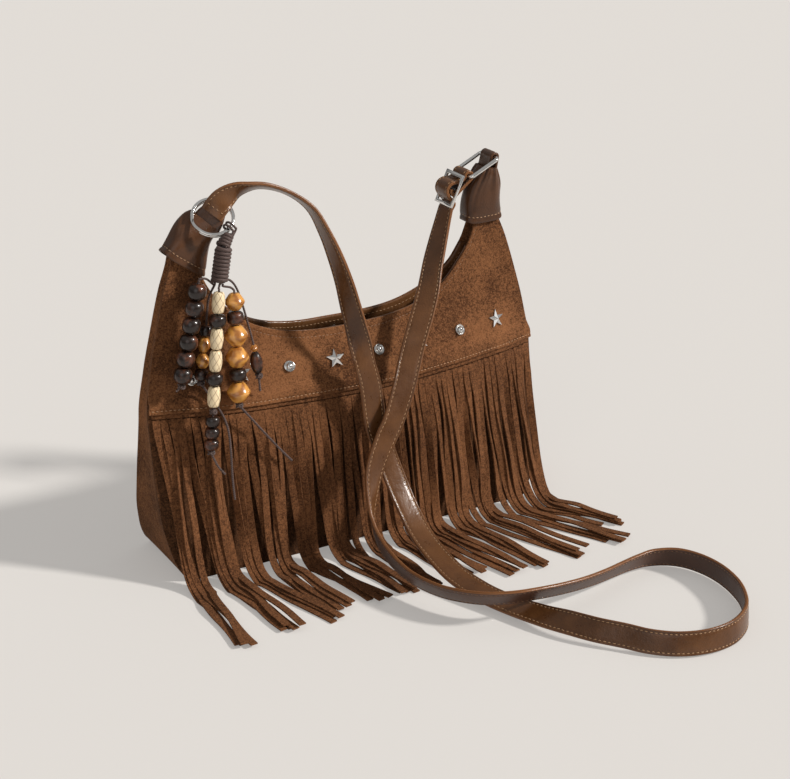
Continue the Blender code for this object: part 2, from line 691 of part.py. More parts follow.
# The strap round the slider and the ring, as (along the slider, out of it) from its middle bar, in mm.
# It passes behind the lower bar, over the middle one, behind the upper one and round the ring's bar.
THROUGH_SLIDER = ((-13.5, -3), (-11, -3.5), (-8.6, -3.3), (-6.7, 0.2), (-4.5, 4.1), (-1.8, 6),
                  (1.8, 6), (4.4, 4), (6, 1), (7.3, -1.5))
RING_TURN = (125, -125)
SLIDER_TURN = (-100, -272)


def slider_route():
    """Places of the strap from the slider's lower bar to its sewn end on the middle bar."""
    out = Vector((-SLIDER_UP.z, 0, SLIDER_UP.x))

    def place(a, b):
        return SLIDER_CENTRE + SLIDER_UP * a + out * b

    def turn(centre, radius, ends, count):
        angles = np.radians(np.linspace(*ends, count))
        return [centre + (SLIDER_UP * math.cos(a) + out * math.sin(a)) * radius for a in angles]

    ring_bar = RING_CENTRE - RING_AXIS * RING_LENGTH / 2
    made = [place(a * MM, b * MM) for a, b in THROUGH_SLIDER]
    made += turn(ring_bar, WIRE / 2 + GAP + STRAP_THICKNESS / 2, RING_TURN, 8)
    made += turn(SLIDER_CENTRE, math.hypot(SLIDER_BAR, SLIDER_PLATE) / 2 + GAP + STRAP_THICKNESS / 2,
                 SLIDER_TURN, 7)
    return made


def strap_frames():
    """Centres, side directions and face directions all along the strap."""
    free = [np.array([*(Vector(p) * MM), *(Vector(n).normalized() * MM * 20)]) for p, n in ROUTE]
    tail = slider_route()
    first = Vector((-SLIDER_UP.z, 0, SLIDER_UP.x))
    free.append(np.array([*tail[0], *(first * MM * 20)]))
    rows = smooth_path(free, STRAP_STEP)
    centres = [Vector(r[:3]) for r in rows]
    faces = [Vector(r[3:]).normalized() for r in rows]
    path = smooth_path([np.array([*p]) for p in tail], 2.5 * MM)[1:]
    path = [Vector(p) for p in path]
    for k, here in enumerate(path):
        before = path[k - 1] if k else tail[0]
        after = path[k + 1] if k + 1 < len(path) else here
        along = (after - before).normalized()
        centres.append(here)
        faces.append(Vector((-along.z, 0, along.x)))
    sides, normals = [], []
    for k, here in enumerate(centres):
        along = (centres[min(k + 1, len(centres) - 1)] - centres[max(k - 1, 0)]).normalized()
        normal = (faces[k] - along * faces[k].dot(along)).normalized()
        normals.append(normal)
        sides.append(along.cross(normal))
    return centres, sides, normals


def strap_and_left_tab():
    centres, sides, normals = strap_frames()
    half, thick = STRAP_WIDTH / 2, STRAP_THICKNESS / 2
    profile = [(-half, -thick), (half, -thick), (half, thick), (-half, thick)]
    sweep("strap", centres, sides, normals, profile, LEATHER_BROWN, 0.4)

    below = STRAP_THICKNESS / 2 + GAP + TAB_THICKNESS / 2
    path, side_list, normal_list = [], [], []
    along = (centres[1] - centres[0]).normalized()
    root = centres[0] - normals[0] * below
    for back in (10, 5):
        path.append(root - along * back * MM)
        side_list.append(sides[0])
        normal_list.append(normals[0])
    run = 0.0
    for k, here in enumerate(centres):
        run += (here - centres[k - 1]).length if k else 0
        if run > TAB_UNDER_STRAP:
            break
        path.append(here - normals[k] * below)
        side_list.append(sides[k])
        normal_list.append(normals[k])
    half, thick = TAB_WIDTH / 2, TAB_THICKNESS / 2
    flat = [(-half, -thick), (half, -thick), (half, thick), (-half, thick)]
    sweep("tab_left", path, side_list, normal_list, flat, LEATHER_BROWN, 0.4)


def wrap_points(centre, radius, first, last, count):
    """Places on an arc in the XZ plane, by angle in degrees from +X towards +Z."""
    angles = np.radians(np.linspace(first, last, count))
    return [centre + Vector((math.cos(a), 0, math.sin(a))) * radius for a in angles]


def tab_right():
    """A band that comes up out of the cap, folds over the ring's far bar and goes down again."""
    far = RING_CENTRE + RING_AXIS * RING_LENGTH / 2
    hug = WIRE / 2 + GAP + TAB_THICKNESS / 2
    path = [Vector((120.2, 0, 238)) * MM, Vector((122.4, 0, 246)) * MM]
    path += wrap_points(far, hug, -10, 190, 8)
    path += [Vector((116.6, 0, 246)) * MM, Vector((115.4, 0, 238)) * MM]
    side_list, normal_list = [], []
    for k in range(len(path)):
        along = (path[min(k + 1, len(path) - 1)] - path[max(k - 1, 0)]).normalized()
        side_list.append(Vector((0, 1, 0)))
        normal_list.append(Vector((-along.z, 0, along.x)))
    half, thick = TAB_WIDTH / 2, TAB_THICKNESS / 2
    flat = [(-half, -thick), (half, -thick), (half, thick), (-half, thick)]
    sweep("tab_right", path, side_list, normal_list, flat, LEATHER_BROWN, 0.4)


def ring_right():
    """An oblong ring of round wire with rounded corners."""
    across = Vector((0, 1, 0))
    normal = RING_AXIS.cross(across)
    centres, outward = [], []
    a, b, r = RING_LENGTH / 2, RING_WIDTH / 2, RING_CORNER
    for corner, (sx, sy) in enumerate(((1, 1), (-1, 1), (-1, -1), (1, -1))):
        middle = RING_CENTRE + RING_AXIS * sx * (a - r) + across * sy * (b - r)
        for k in range(5):
            angle = math.radians(90 * corner + 22.5 * k)
            way = RING_AXIS * math.cos(angle) + across * math.sin(angle)
            centres.append(middle + way * r)
            outward.append(way)
    profile = [(WIRE / 2 * math.cos(math.pi * k / 3), WIRE / 2 * math.sin(math.pi * k / 3)) for k in range(6)]
    sweep("ring_right", centres, outward, [normal] * len(centres), profile, (0.8, 0.8, 0.8), 0.15, 1.0,
          closed=True)


def slider():
    """A flat frame with a middle bar, cut from one plate."""
    maker = bmesh.new()
    out = Vector((-SLIDER_UP.z, 0, SLIDER_UP.x))
    w, h, b = SLIDER_WIDTH / 2, SLIDER_LENGTH / 2, SLIDER_BAR
    ys = (-w, -w + b, w - b, w)
    zs = (-h, -h + b, -b / 2, b / 2, h - b, h)
    layers = []
    for side in (-SLIDER_PLATE / 2, SLIDER_PLATE / 2):
        layers.append([[maker.verts.new(SLIDER_CENTRE + Vector((0, y, 0)) + SLIDER_UP * z + out * side)
                        for y in ys] for z in zs])
    solid = {(r, c) for r in range(5) for c in range(3)} - {(1, 1), (3, 1)}
    for r, c in solid:
        for layer in layers:
            maker.faces.new((layer[r][c], layer[r][c + 1], layer[r + 1][c + 1], layer[r + 1][c]))
        for near, one, two in (((r - 1, c), (r, c), (r, c + 1)), ((r + 1, c), (r + 1, c), (r + 1, c + 1)),
                               ((r, c - 1), (r, c), (r + 1, c)), ((r, c + 1), (r, c + 1), (r + 1, c + 1))):
            if near not in solid:
                corners = [layers[k][p][q] for k, (p, q) in ((0, one), (0, two), (1, two), (1, one))]
                maker.faces.new(corners)
    made = finish("slider", maker, (0.8, 0.8, 0.8), 0.15, 1.0)
    edge = made.modifiers.new("edge", "BEVEL")
    edge.width = 0.3 * MM
    edge.segments = 1
    edge.limit_method = "ANGLE"


def key_ring():
    """A split ring: two turns of square wire side by side, with a crossing where their ends meet."""
    outward_up = (KEY_RING_UP - ACROSS * KEY_RING_UP.dot(ACROSS)).normalized()
    axis = ACROSS.cross(outward_up).normalized()
    count = 40
    centres, outward = [], []
    for k in range(count + 1):
        turn = KEY_RING_CROSSING + (2 - 2 * KEY_RING_CROSSING) * k / count
        angle = 2 * math.pi * (turn - 0.3)
        way = ACROSS * math.cos(angle) + outward_up * math.sin(angle)
        climb = min(1.0, max(-1.0, (turn - 1) / KEY_RING_CROSSING)) / 2
        rise = (KEY_RING_WIRE + KEY_RING_GAP) * climb
        centres.append(KEY_RING_CENTRE + way * KEY_RING_RADIUS + axis * rise)
        outward.append(way)
    h = KEY_RING_WIRE / 2
    sweep("key_ring", centres, outward, [axis] * len(centres), [(-h, -h), (h, -h), (h, h), (-h, h)],
          (0.8, 0.8, 0.8), 0.15, 1.0)


def tube(name, points, thickness, colour):
    """A round cord through the points."""
    curve = bpy.data.curves.new(name, "CURVE")
    curve.dimensions = "3D"
    curve.bevel_depth = thickness / 2
    curve.bevel_resolution = 2
    curve.use_fill_caps = True
    spline = curve.splines.new("POLY")
    spline.points.add(len(points) - 1)
    for place, point in zip(points, spline.points):
        point.co = (*place, 1)
    made = bpy.data.objects.new(name, curve)
    bpy.context.scene.collection.objects.link(made)
    give_material(made, colour, 0.7, 0.0)


RING_PIVOT = KEY_RING_CENTRE + (KEY_RING_UP - ACROSS * KEY_RING_UP.dot(ACROSS)).normalized() * RING_LEVER
CHARM_PIVOT = KEY_RING_CENTRE + (ACROSS * 0.995 + KEY_RING_UP * 0.1).normalized() * KEY_RING_RADIUS


def charm_loop():
    """The cord over the key ring's wire, whose two legs run down to the wrap."""
    wire_way = (KEY_RING_UP - ACROSS * KEY_RING_UP.dot(ACROSS)).normalized()
    side = Vector((wire_way.y, -wire_way.x, 0)).normalized()
    up = side.cross(wire_way)
    up = -up if up.z < 0 else up
    points = []
    for k in range(9):
        angle = math.radians(-20 + 220 * k / 8)
        points.append(CHARM_PIVOT + (side * math.cos(angle) + up * math.sin(angle)) * LOOP_RADIUS)
    down = (WRAP_BOTTOM - WRAP_TOP).normalized()
    foot = WRAP_TOP - down * (CORD / 2 + 2 * GAP)
    points = [foot + side * 1.5 * CORD] + points + [foot - side * 1.5 * CORD]
    tube("charm_loop", points, CORD, CORD_BROWN)


def charm_wrap():
    length = (WRAP_BOTTOM - WRAP_TOP).length
    profile = [(0, 0)]
    for k in range(WRAP_TURNS):
        low = length * k / WRAP_TURNS
        profile += [(WRAP_RADIUS * 0.9, low), (WRAP_RADIUS, low + length * 0.5 / WRAP_TURNS)]
    profile += [(WRAP_RADIUS * 0.9, length), (0, length)]
    lathe("charm_wrap", profile, WRAP_TOP, WRAP_BOTTOM - WRAP_TOP, 8, CORD_BROWN, 0.75)


DARK = (0.03, 0.014, 0.009)
CREAM = (0.75, 0.62, 0.42)
AMBER = (0.55, 0.26, 0.06)
# Kind: radius, length, outline as (share of radius, share of length), colour.
BEADS = {
    "ball": (6.2, 11.0, ((0.5, -0.5), (0.88, -0.3), (1, 0), (0.88, 0.3), (0.5, 0.5)), DARK),
    "rondelle": (5.7, 8.8, ((0.55, -0.5), (0.92, -0.3), (1, 0), (0.92, 0.3), (0.55, 0.5)), DARK),
    "small_rondelle": (4.9, 7.6, ((0.5, -0.5), (0.9, -0.3), (1, 0), (0.9, 0.3), (0.5, 0.5)), DARK),
    "barrel": (4.6, 14.6, ((0.62, -0.5), (0.93, -0.25), (1, 0), (0.93, 0.25), (0.62, 0.5)), CREAM),
    "short_bicone": (6.8, 12.0, ((0.42, -0.5), (0.96, -0.1), (1, 0), (0.96, 0.1), (0.42, 0.5)), AMBER),
    "bicone": (8.1, 14.4, ((0.42, -0.5), (0.96, -0.1), (1, 0), (0.96, 0.1), (0.42, 0.5)), AMBER),
    "small_bicone": (4.8, 10.5, ((0.4, -0.5), (0.95, -0.1), (1, 0), (0.95, 0.1), (0.4, 0.5)), AMBER),
    "pip": (2.7, 4.8, ((0.6, -0.5), (1, 0), (0.6, 0.5)), AMBER),
    "olive": (4.3, 15.0, ((0.5, -0.5), (0.9, -0.25), (1, 0), (0.9, 0.25), (0.5, 0.5)), DARK),
}
# Strand: where its cord leaves the wrap's end (from its middle), the way to its first bead,
# the line of its beads, the beads, and its tail.
STRANDS = (
    ((-2.8, 0.6), ((-106, -19.2, 205.5), (-110.6, -19, 206)),
     ((-111.4, -19, 203.2), (-126.1, -21, 142)), ("ball",) * 6,
     ((-131.5, -21.5, 133),)),
    ((-0.9, -2.6), ((-99.6, -24, 199.4),),
     ((-99.9, -25, 197.6), (-110.5, -31.5, 116)),
     ("barrel", "rondelle", "barrel", "barrel", "rondelle", "barrel", None,
      "small_rondelle", "small_rondelle", "small_rondelle"),
     ((-113.2, -36, 87), (-111, -38.5, 81), (-107.5, -41, 76))),
    ((2.4, -0.8), ((-90, -20.8, 197.5),),
     ((-87.4, -21, 193.5), (-90.6, -29.5, 119)),
     ("short_bicone", "rondelle", "bicone", "bicone", "rondelle", "bicone"),
     ((-83.5, -32.5, 108), (-77, -35, 99), (-66.3, -39, 84.7), (-58.4, -41, 75))),
    ((2, 2.6), ((-88, -10.5, 200), (-80, -10.5, 190)),
     ((-76, -23.5, 156), (-74, -26.5, 132)), ("pip", "olive"),
     ((-74, -27.5, 124),)),
    ((-1.6, 2.8), ((-103, -14.8, 190),),
     ((-104.9, -13.6, 172), (-113.5, -19.6, 132)),
     ("small_rondelle", "small_bicone", "small_bicone", "small_rondelle"),
     ((-108, -22, 125), (-101.5, -34, 106), (-102.3, -41, 70), (-102.8, -44.5, 58))),
)


def strand(number, foot, leads, line, beads, tail):
    """Beads threaded on one straight stretch of a cord, close to each other."""
    down = (WRAP_BOTTOM - WRAP_TOP).normalized()
    foot = Vector((*foot, 0)) * MM
    foot = WRAP_BOTTOM + foot + down * (GAP - foot.dot(down))
    start, end = Vector(line[0]) * MM, Vector(line[1]) * MM
    along = (end - start).normalized()
    at, count = 0.0, 0
    for kind in beads:
        if kind is None:
            at += 5.5 * MM
            continue
        radius, length, outline, colour = BEADS[kind]
        count += 1
        centre = start + along * (at + length * MM / 2)
        profile = [(BORE, -length * MM / 2)] + [(r * radius * MM, h * length * MM) for r, h in outline]
        profile += [(BORE, length * MM / 2)]
        lathe(f"strand_{number}_bead_{count}", profile, centre, along, BEAD_SIDES, colour, 0.2, closed=True)
        at += length * MM + BEAD_GAP
    after = start + along * (at + 1.5 * MM)
    route = [foot, foot + down * CORD] + [Vector(p) * MM for p in leads]
    route += [start - along * CORD, after]
    route += [Vector(p) * MM for p in tail]
    tube(f"strand_{number}_cord", route, CORD, CORD_BROWN)


def put_origin(names, pivot):
    """Moves the origin of each moving piece onto its joint, and leaves its shape where it is."""
    for name in names:
        piece = bpy.data.objects[name]
        piece.data.transform(Matrix.Translation(-pivot))
        piece.location = pivot


def main():
    clear_scene()
    front_panel()
    front_yoke()
    back_panel()
    gusset()
    lining()
    facing("facing_front", -1, 0.0)
    facing("facing_back", 1, BACK_EXTRA)
    fringe()
    studs()
    snap_half("snap_front", -1, 0.0, 0.0)
    snap_half("snap_back", 1, BACK_EXTRA, 1.2 * MM)
    cap_left()
    cap_right()
    strap_and_left_tab()
    tab_right()
    ring_right()
    slider()
    key_ring()
    charm_loop()
    charm_wrap()
    for number, parts in enumerate(STRANDS, 1):
        strand(number, *parts)
    put_origin(["key_ring"], RING_PIVOT)
    put_origin([o.name for o in bpy.data.objects if o.name.startswith(("charm", "strand"))], CHARM_PIVOT)


main()
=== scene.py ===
# %% [markdown]
# # A fringed suede bag, dressed for its picture
# The solids of the bag come from its CAD model and stay where they are. This file lays the
# finished pieces over them: napped suede, smooth leather, thread, polished steel and wooden beads.
# It starts by loading the solids.

import json
import math
import random
from types import SimpleNamespace

import bmesh
import bpy
import numpy as np
from mathutils import Matrix, Vector

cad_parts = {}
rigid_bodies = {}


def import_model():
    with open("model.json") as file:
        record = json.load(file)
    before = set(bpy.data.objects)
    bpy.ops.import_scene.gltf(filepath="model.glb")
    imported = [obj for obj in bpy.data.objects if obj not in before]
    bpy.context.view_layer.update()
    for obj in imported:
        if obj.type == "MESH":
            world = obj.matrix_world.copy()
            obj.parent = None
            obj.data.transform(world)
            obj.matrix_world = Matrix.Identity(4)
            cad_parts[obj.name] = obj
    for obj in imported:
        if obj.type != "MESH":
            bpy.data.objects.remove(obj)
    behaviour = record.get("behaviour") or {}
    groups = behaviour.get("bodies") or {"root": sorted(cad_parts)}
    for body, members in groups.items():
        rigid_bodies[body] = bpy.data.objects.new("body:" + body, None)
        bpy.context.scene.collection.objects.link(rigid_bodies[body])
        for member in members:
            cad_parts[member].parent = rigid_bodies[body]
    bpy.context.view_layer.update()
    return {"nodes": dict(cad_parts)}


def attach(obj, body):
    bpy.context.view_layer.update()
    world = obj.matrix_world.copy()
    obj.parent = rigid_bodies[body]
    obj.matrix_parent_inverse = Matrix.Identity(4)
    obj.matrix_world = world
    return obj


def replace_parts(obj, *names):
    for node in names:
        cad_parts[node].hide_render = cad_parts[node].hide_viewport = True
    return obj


for startup in list(bpy.data.objects):
    bpy.data.objects.remove(startup, do_unlink=True)
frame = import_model()
MM = 0.001

# %% [markdown]
# ## The camera
# The picture was taken from the front left and from above. The camera's place and its three
# directions were worked out from points of the bag whose places are known, so the render frames
# the bag as the picture does.

# %% Place the camera
CAMERA_PLACE = Vector((-0.5424, -1.0336, 0.5794))
CAMERA_RIGHT = Vector((0.8695, -0.494, 0.0)).normalized()
CAMERA_AHEAD = Vector((0.4568, 0.8043, -0.38)).normalized()

lens = bpy.data.cameras.new("camera")
lens.lens = 81.92
lens.sensor_width = 36
lens.clip_start, lens.clip_end = 0.05, 30
camera = bpy.data.objects.new("camera", lens)
camera_up = CAMERA_RIGHT.cross(CAMERA_AHEAD).normalized()
turn = Matrix((CAMERA_RIGHT, camera_up, -CAMERA_AHEAD)).transposed()
camera.matrix_world = Matrix.Translation(CAMERA_PLACE) @ turn.to_4x4()
bpy.context.scene.collection.objects.link(camera)
bpy.context.scene.camera = camera
bpy.context.scene.view_settings.view_transform = "Standard"
print("camera is", round(CAMERA_PLACE.length, 3), "m from the bag")

# %% [markdown]
# ## Sums on sockets
# A material is a graph of small nodes. Writing every Math node by hand hides the idea, so this
# class wraps one socket and lets plain sums stand for the nodes: `1 - mask` adds a Subtract node.
# One method adds any other node, with its settings first and then its inputs.


# %% Wrap a socket
class Value:
    """One output socket, which can be used in sums."""

    def __init__(self, graph, socket):
        self.graph, self.socket = graph, socket

    def sum(self, operation, first, second):
        return self.graph.add("ShaderNodeMath", {"operation": operation}, {0: first, 1: second})

    def __add__(self, other):
        return self.sum("ADD", self, other)

    __radd__ = __add__

    def __sub__(self, other):
        return self.sum("SUBTRACT", self, other)

    def __rsub__(self, other):
        return self.sum("SUBTRACT", other, self)

    def __mul__(self, other):
        return self.sum("MULTIPLY", self, other)

    __rmul__ = __mul__

    def sine(self):
        return self.sum("SINE", self, 0)

    def size(self):
        return self.sum("ABSOLUTE", self, 0)

    def between(self, low, high):
        """0 below low, 1 above high, and a smooth step between them."""
        return self.graph.add("ShaderNodeMapRange", {"interpolation_type": "SMOOTHSTEP"},
                              {"Value": self, "From Min": low, "From Max": high})


# %% Wrap a graph and a material
class Graph:
    """A node tree of a material or a shape, built in code."""

    def __init__(self, tree):
        self.tree = tree

    def add(self, kind, settings=None, inputs=None, output=0):
        node = self.tree.nodes.new(kind)
        for name, setting in (settings or {}).items():
            if name == "stops":
                ramp = node.color_ramp.elements
                while len(ramp) < len(setting):
                    ramp.new(0.5)
                for stop, (place, colour) in zip(ramp, setting):
                    stop.position, stop.color = place, (*colour, 1)
            else:
                setattr(node, name, setting)
        for name, given in (inputs or {}).items():
            if isinstance(given, Value):
                self.tree.links.new(given.socket, node.inputs[name])
            else:
                node.inputs[name].default_value = given
        return Value(self, node.outputs[output]) if node.outputs else node

    def mix(self, share, first, second):
        """A colour between two colours."""
        first = (*first, 1) if isinstance(first, tuple) else first
        second = (*second, 1) if isinstance(second, tuple) else second
        return self.add("ShaderNodeMix", {"data_type": "RGBA"}, {0: share, 6: first, 7: second}, 2)


class Finish(Graph):
    """A material for one finish of the bag."""

    def __init__(self, name):
        self.material = bpy.data.materials.new(name)
        self.material.use_nodes = True
        super().__init__(self.material.node_tree)
        self.shader = self.tree.nodes["Principled BSDF"]
        self.place = self.add("ShaderNodeTexCoord", output="Object")

    def noise(self, scale, detail=3, roughness=0.5):
        return self.add("ShaderNodeTexNoise", None,
                        {"Vector": self.place, "Scale": scale, "Detail": detail,
                         "Roughness": roughness})

    def around_and_along(self):
        """The piece's own UV map: how far round and how far along it a point is."""
        flat = self.add("ShaderNodeUVMap", {"uv_map": "UVMap"})
        split = self.add("ShaderNodeSeparateXYZ", None, {0: flat}).socket.node
        return Value(self, split.outputs[0]), Value(self, split.outputs[1])

    def bump(self, height, distance, strength, under=None):
        inputs = {"Height": height, "Distance": distance, "Strength": strength}
        if under:
            inputs["Normal"] = under
        return self.add("ShaderNodeBump", None, inputs)

    def paint(self, **inputs):
        """Sets the shader's sockets: a link for what varies, a number for what doesn't."""
        for name, given in inputs.items():
            socket = self.shader.inputs[name.replace("_", " ")]
            if isinstance(given, Value):
                self.tree.links.new(given.socket, socket)
            else:
                socket.default_value = (*given, 1) if isinstance(given, tuple) else given
        return self.material


print("graph tools ready")

# %% [markdown]
# ## Suede
# Suede is leather with its fibres brushed up. They catch light in patches where a hand has
# stroked the nap, scatter it at grazing angles (that is the sheen) and hide any gloss. Three
# sizes of noise make the patches, the flecks and the single fibres. Narrow strips have weaker
# patches. The panel behind them gets a darker copy of the suede: painted shade for the strips'
# shadow on it, as it looks in the gaps between the strips.


# %% Make the suede
def suede_finish(name, low, high, patches=1.0):
    finish = Finish(name)
    strokes = finish.noise(22, 4, roughness=0.5)
    flecked = finish.noise(380, 5, roughness=0.7)
    fibres = finish.noise(900, 3, roughness=0.75)
    mask = (strokes - 0.5) * 1.7 * patches + (flecked - 0.5) * 1.3 + (fibres - 0.5) * 2.2 + 0.5
    colour = finish.mix(mask.between(0, 1), low, high)
    soft = finish.bump(flecked, 0.0009, 0.5)
    nap = finish.bump(fibres, 0.0005, 0.9, soft)
    return finish.paint(Base_Color=colour, Roughness=0.92 - fibres * 0.1, Normal=nap,
                        Sheen_Weight=0.1, Sheen_Roughness=0.45, Sheen_Tint=(0.9, 0.5, 0.28),
                        Specular_IOR_Level=0.12)


WEAK_PATCHES = 0.5
SUEDE = suede_finish("suede", (0.050, 0.0185, 0.007), (0.228, 0.095, 0.038))
FRINGE_SUEDE = suede_finish("fringe_suede", (0.046, 0.017, 0.0064), (0.195, 0.080, 0.032), WEAK_PATCHES)
# The panel behind the fringe: darker colours, as painted shade for the strips' shadow on it.
SUEDE_IN_PAINTED_SHADE = suede_finish("shaded_suede", (0.026, 0.010, 0.004), (0.120, 0.050, 0.0205), WEAK_PATCHES)
print("suede made")

# %% [markdown]
# ## Smooth leather
# The strap, the caps and the facings are coated leather: shallow pores, a satin gloss that is
# broken up by handling, and slow changes of colour. Small Voronoi cells give the pores.


# %% Make the leather
def leather_finish(name, low, high, gloss):
    finish = Finish(name)
    slow = finish.noise(16, 3)
    rubbed = finish.noise(85, 4, roughness=0.65)
    pores = finish.add("ShaderNodeTexVoronoi", {"feature": "SMOOTH_F1"},
                       {"Vector": finish.place, "Scale": 1100})
    colour = finish.mix((slow * 0.6 + rubbed * 0.5).between(0.25, 0.85), low, high)
    grain = finish.bump(pores, 0.00016, 0.5)
    soft = finish.bump(rubbed, 0.0012, 0.4, grain)
    return finish.paint(Base_Color=colour, Roughness=gloss - 0.06 + rubbed * 0.2, Normal=soft,
                        Specular_IOR_Level=0.38, Coat_Weight=0.05, Coat_Roughness=0.25)


STRAP_LEATHER = leather_finish("strap_leather", (0.062, 0.0228, 0.0070), (0.142, 0.058, 0.0185), 0.26)
STRAP_LINING = leather_finish("strap_lining", (0.050, 0.022, 0.013), (0.095, 0.043, 0.026), 0.42)
EDGE_PAINT = leather_finish("edge_paint", (0.14, 0.052, 0.016), (0.23, 0.092, 0.029), 0.34)
CAP_LEATHER = leather_finish("cap_leather", (0.036, 0.0138, 0.0050), (0.105, 0.041, 0.0150), 0.28)
FACING_LEATHER = leather_finish("facing_leather", (0.084, 0.035, 0.0130), (0.165, 0.072, 0.0280),
                                0.24)
print("leather made")

# %% [markdown]
# ## Thread, cord and cloth
# Thread and cord are fibres laid round each other, so their highlights run in slanted bands. The
# bands come from the piece's own UV map: a sine of the way round plus the way along. On the cord
# they bump the surface and are also painted into its colour: painted highlight on the strands and
# painted shade between them.


# %% Make the thread, the cord and the cloth
def thread_finish(name, colour):
    finish = Finish(name)
    fuzz = finish.noise(2500, 2)
    tone = finish.mix(fuzz, tuple(c * 0.7 for c in colour), colour)
    return finish.paint(Base_Color=tone, Roughness=0.6, Sheen_Weight=0.2,
                        Normal=finish.bump(fuzz, 0.0001, 0.4))


def cord_finish():
    finish = Finish("waxed_cord")
    around, along = finish.around_and_along()
    lay = ((around * 3 + along * 700) * 2 * math.pi).sine() * 0.5 + 0.5
    fuzz = finish.noise(1800, 3)
    # Colour: lighter along the lay's strands and darker between them, as painted highlight and shade, plus
    # random fuzz.
    tone = finish.mix(lay * 0.5 + fuzz * 0.6, (0.028, 0.015, 0.012), (0.098, 0.055, 0.045))
    turns = finish.bump(lay, 0.0003, 0.8)
    return finish.paint(Base_Color=tone, Roughness=0.55 + fuzz * 0.2, Sheen_Weight=0.15,
                        Normal=finish.bump(fuzz, 0.0001, 0.4, turns))


def cloth_finish():
    finish = Finish("lining_cloth")
    around, along = finish.around_and_along()
    warp = (around * 2 * math.pi * 1400).sine()
    weft = (along * 2 * math.pi * 1400).sine()
    weave = warp * weft * 0.5 + 0.5
    tone = finish.mix(weave * 0.5 + finish.noise(60) * 0.5, (0.03, 0.019, 0.012), (0.062, 0.04, 0.027))
    return finish.paint(Base_Color=tone, Roughness=0.8, Sheen_Weight=0.2,
                        Normal=finish.bump(weave, 0.0001, 0.5))


TAN_THREAD = thread_finish("tan_thread", (0.42, 0.235, 0.11))
BROWN_THREAD = thread_finish("brown_thread", (0.27, 0.135, 0.062))
WAXED_CORD = cord_finish()
LINING_CLOTH = cloth_finish()
print("thread, cord and cloth made")

# %% [markdown]
# ## Metal and beads
# The fittings are polished steel with hair-fine scratches. The beads are lacquered wood: dark
# ones with reddish sapwood, amber ones with a bold grain, and pale ones with lines carved in.


# %% Make the metal and the beads
def steel_finish():
    finish = Finish("polished_steel")
    worn = finish.noise(350, 4, roughness=0.7)
    scratches = finish.noise(2200, 2)
    tone = finish.mix(worn, (0.62, 0.61, 0.59), (0.86, 0.85, 0.83))
    return finish.paint(Base_Color=tone, Metallic=1.0, Roughness=0.08 + worn * 0.14,
                        Normal=finish.bump(scratches, 0.00003, 0.4))


def dark_wood_finish():
    finish = Finish("dark_wood")
    patches = finish.noise(90, 4, roughness=0.7)
    tone = finish.mix(patches.between(0.46, 0.7), (0.014, 0.0072, 0.005), (0.13, 0.042, 0.019))
    return finish.paint(Base_Color=tone, Roughness=0.26 + patches * 0.12, Coat_Weight=0.35,
                        Specular_IOR_Level=0.35, Coat_Roughness=0.06,
                        Normal=finish.bump(patches, 0.0003, 0.25))


def amber_wood_finish():
    finish = Finish("amber_wood")
    around, along = finish.around_and_along()
    warped = finish.noise(70, 3) * 7 + along * 260 + (around * 2 * math.pi).sine() * 1.6
    grain = (warped * 2.2).sine() * 0.5 + 0.5
    fine = finish.noise(420, 4)
    tone = finish.mix((grain * 0.75 + fine * 0.4).between(0.1, 0.95), (0.30, 0.105, 0.017),
                      (0.66, 0.31, 0.066))
    return finish.paint(Base_Color=tone, Roughness=0.24, Coat_Weight=0.8, Coat_Roughness=0.06,
                        Normal=finish.bump(grain, 0.00015, 0.25))


def carved_bead_finish():
    finish = Finish("carved_pale_wood")
    around, along = finish.around_and_along()
    turn = around * 2 * math.pi * 3
    wave = along * 430
    rising = (turn + wave).sine().size()
    falling = (turn - wave).sine().size()
    line = 1 - rising.between(0.02, 0.2) * falling.between(0.02, 0.2)
    speck = finish.noise(300, 4)
    tone = finish.mix(line * 0.8 + (speck - 0.5) * 0.3, (0.83, 0.67, 0.43), (0.33, 0.17, 0.07))
    return finish.paint(Base_Color=tone, Roughness=0.4, Coat_Weight=0.25,
                        Normal=finish.bump(1 - line, 0.0004, 0.9))


STEEL = steel_finish()
DARK_WOOD = dark_wood_finish()
AMBER_WOOD = amber_wood_finish()
CARVED_WOOD = carved_bead_finish()
print("metal and wood made")

# %% [markdown]
# ## Meshes from grids
# Nearly every piece here is a grid of points that is bent into shape: a tube is a grid whose
# last column meets its first, and a wall is one whose rows run up the outside and down the
# inside. These helpers turn such a grid into a closed mesh and give it a UV map in metres.


# %% Grids to tubes and walls
def ease(mesh, angle):
    """Smooth shading, except over edges that turn by more than the angle."""
    mesh.shade_smooth()
    mesh.set_sharp_from_angle(angle=math.radians(angle))


def mesh_piece(name, points, faces, material, uvs=None, angle=40):
    """A mesh of given faces. An angle of 0 leaves them flat."""
    mesh = bpy.data.meshes.new(name)
    mesh.from_pydata([tuple(p) for p in points], [], [tuple(int(i) for i in f) for f in faces])
    if uvs is not None:
        layer = mesh.uv_layers.new(name="UVMap")
        layer.data.foreach_set("uv", np.asarray(uvs, np.float32).ravel())
    materials = material if isinstance(material, list) else [material]
    for one in materials:
        mesh.materials.append(one)
    maker = bmesh.new()
    maker.from_mesh(mesh)
    bmesh.ops.recalc_face_normals(maker, faces=maker.faces)
    maker.to_mesh(mesh)
    maker.free()
    if angle:
        ease(mesh, angle)
    made = bpy.data.objects.new(name, mesh)
    bpy.context.scene.collection.objects.link(made)
    return made


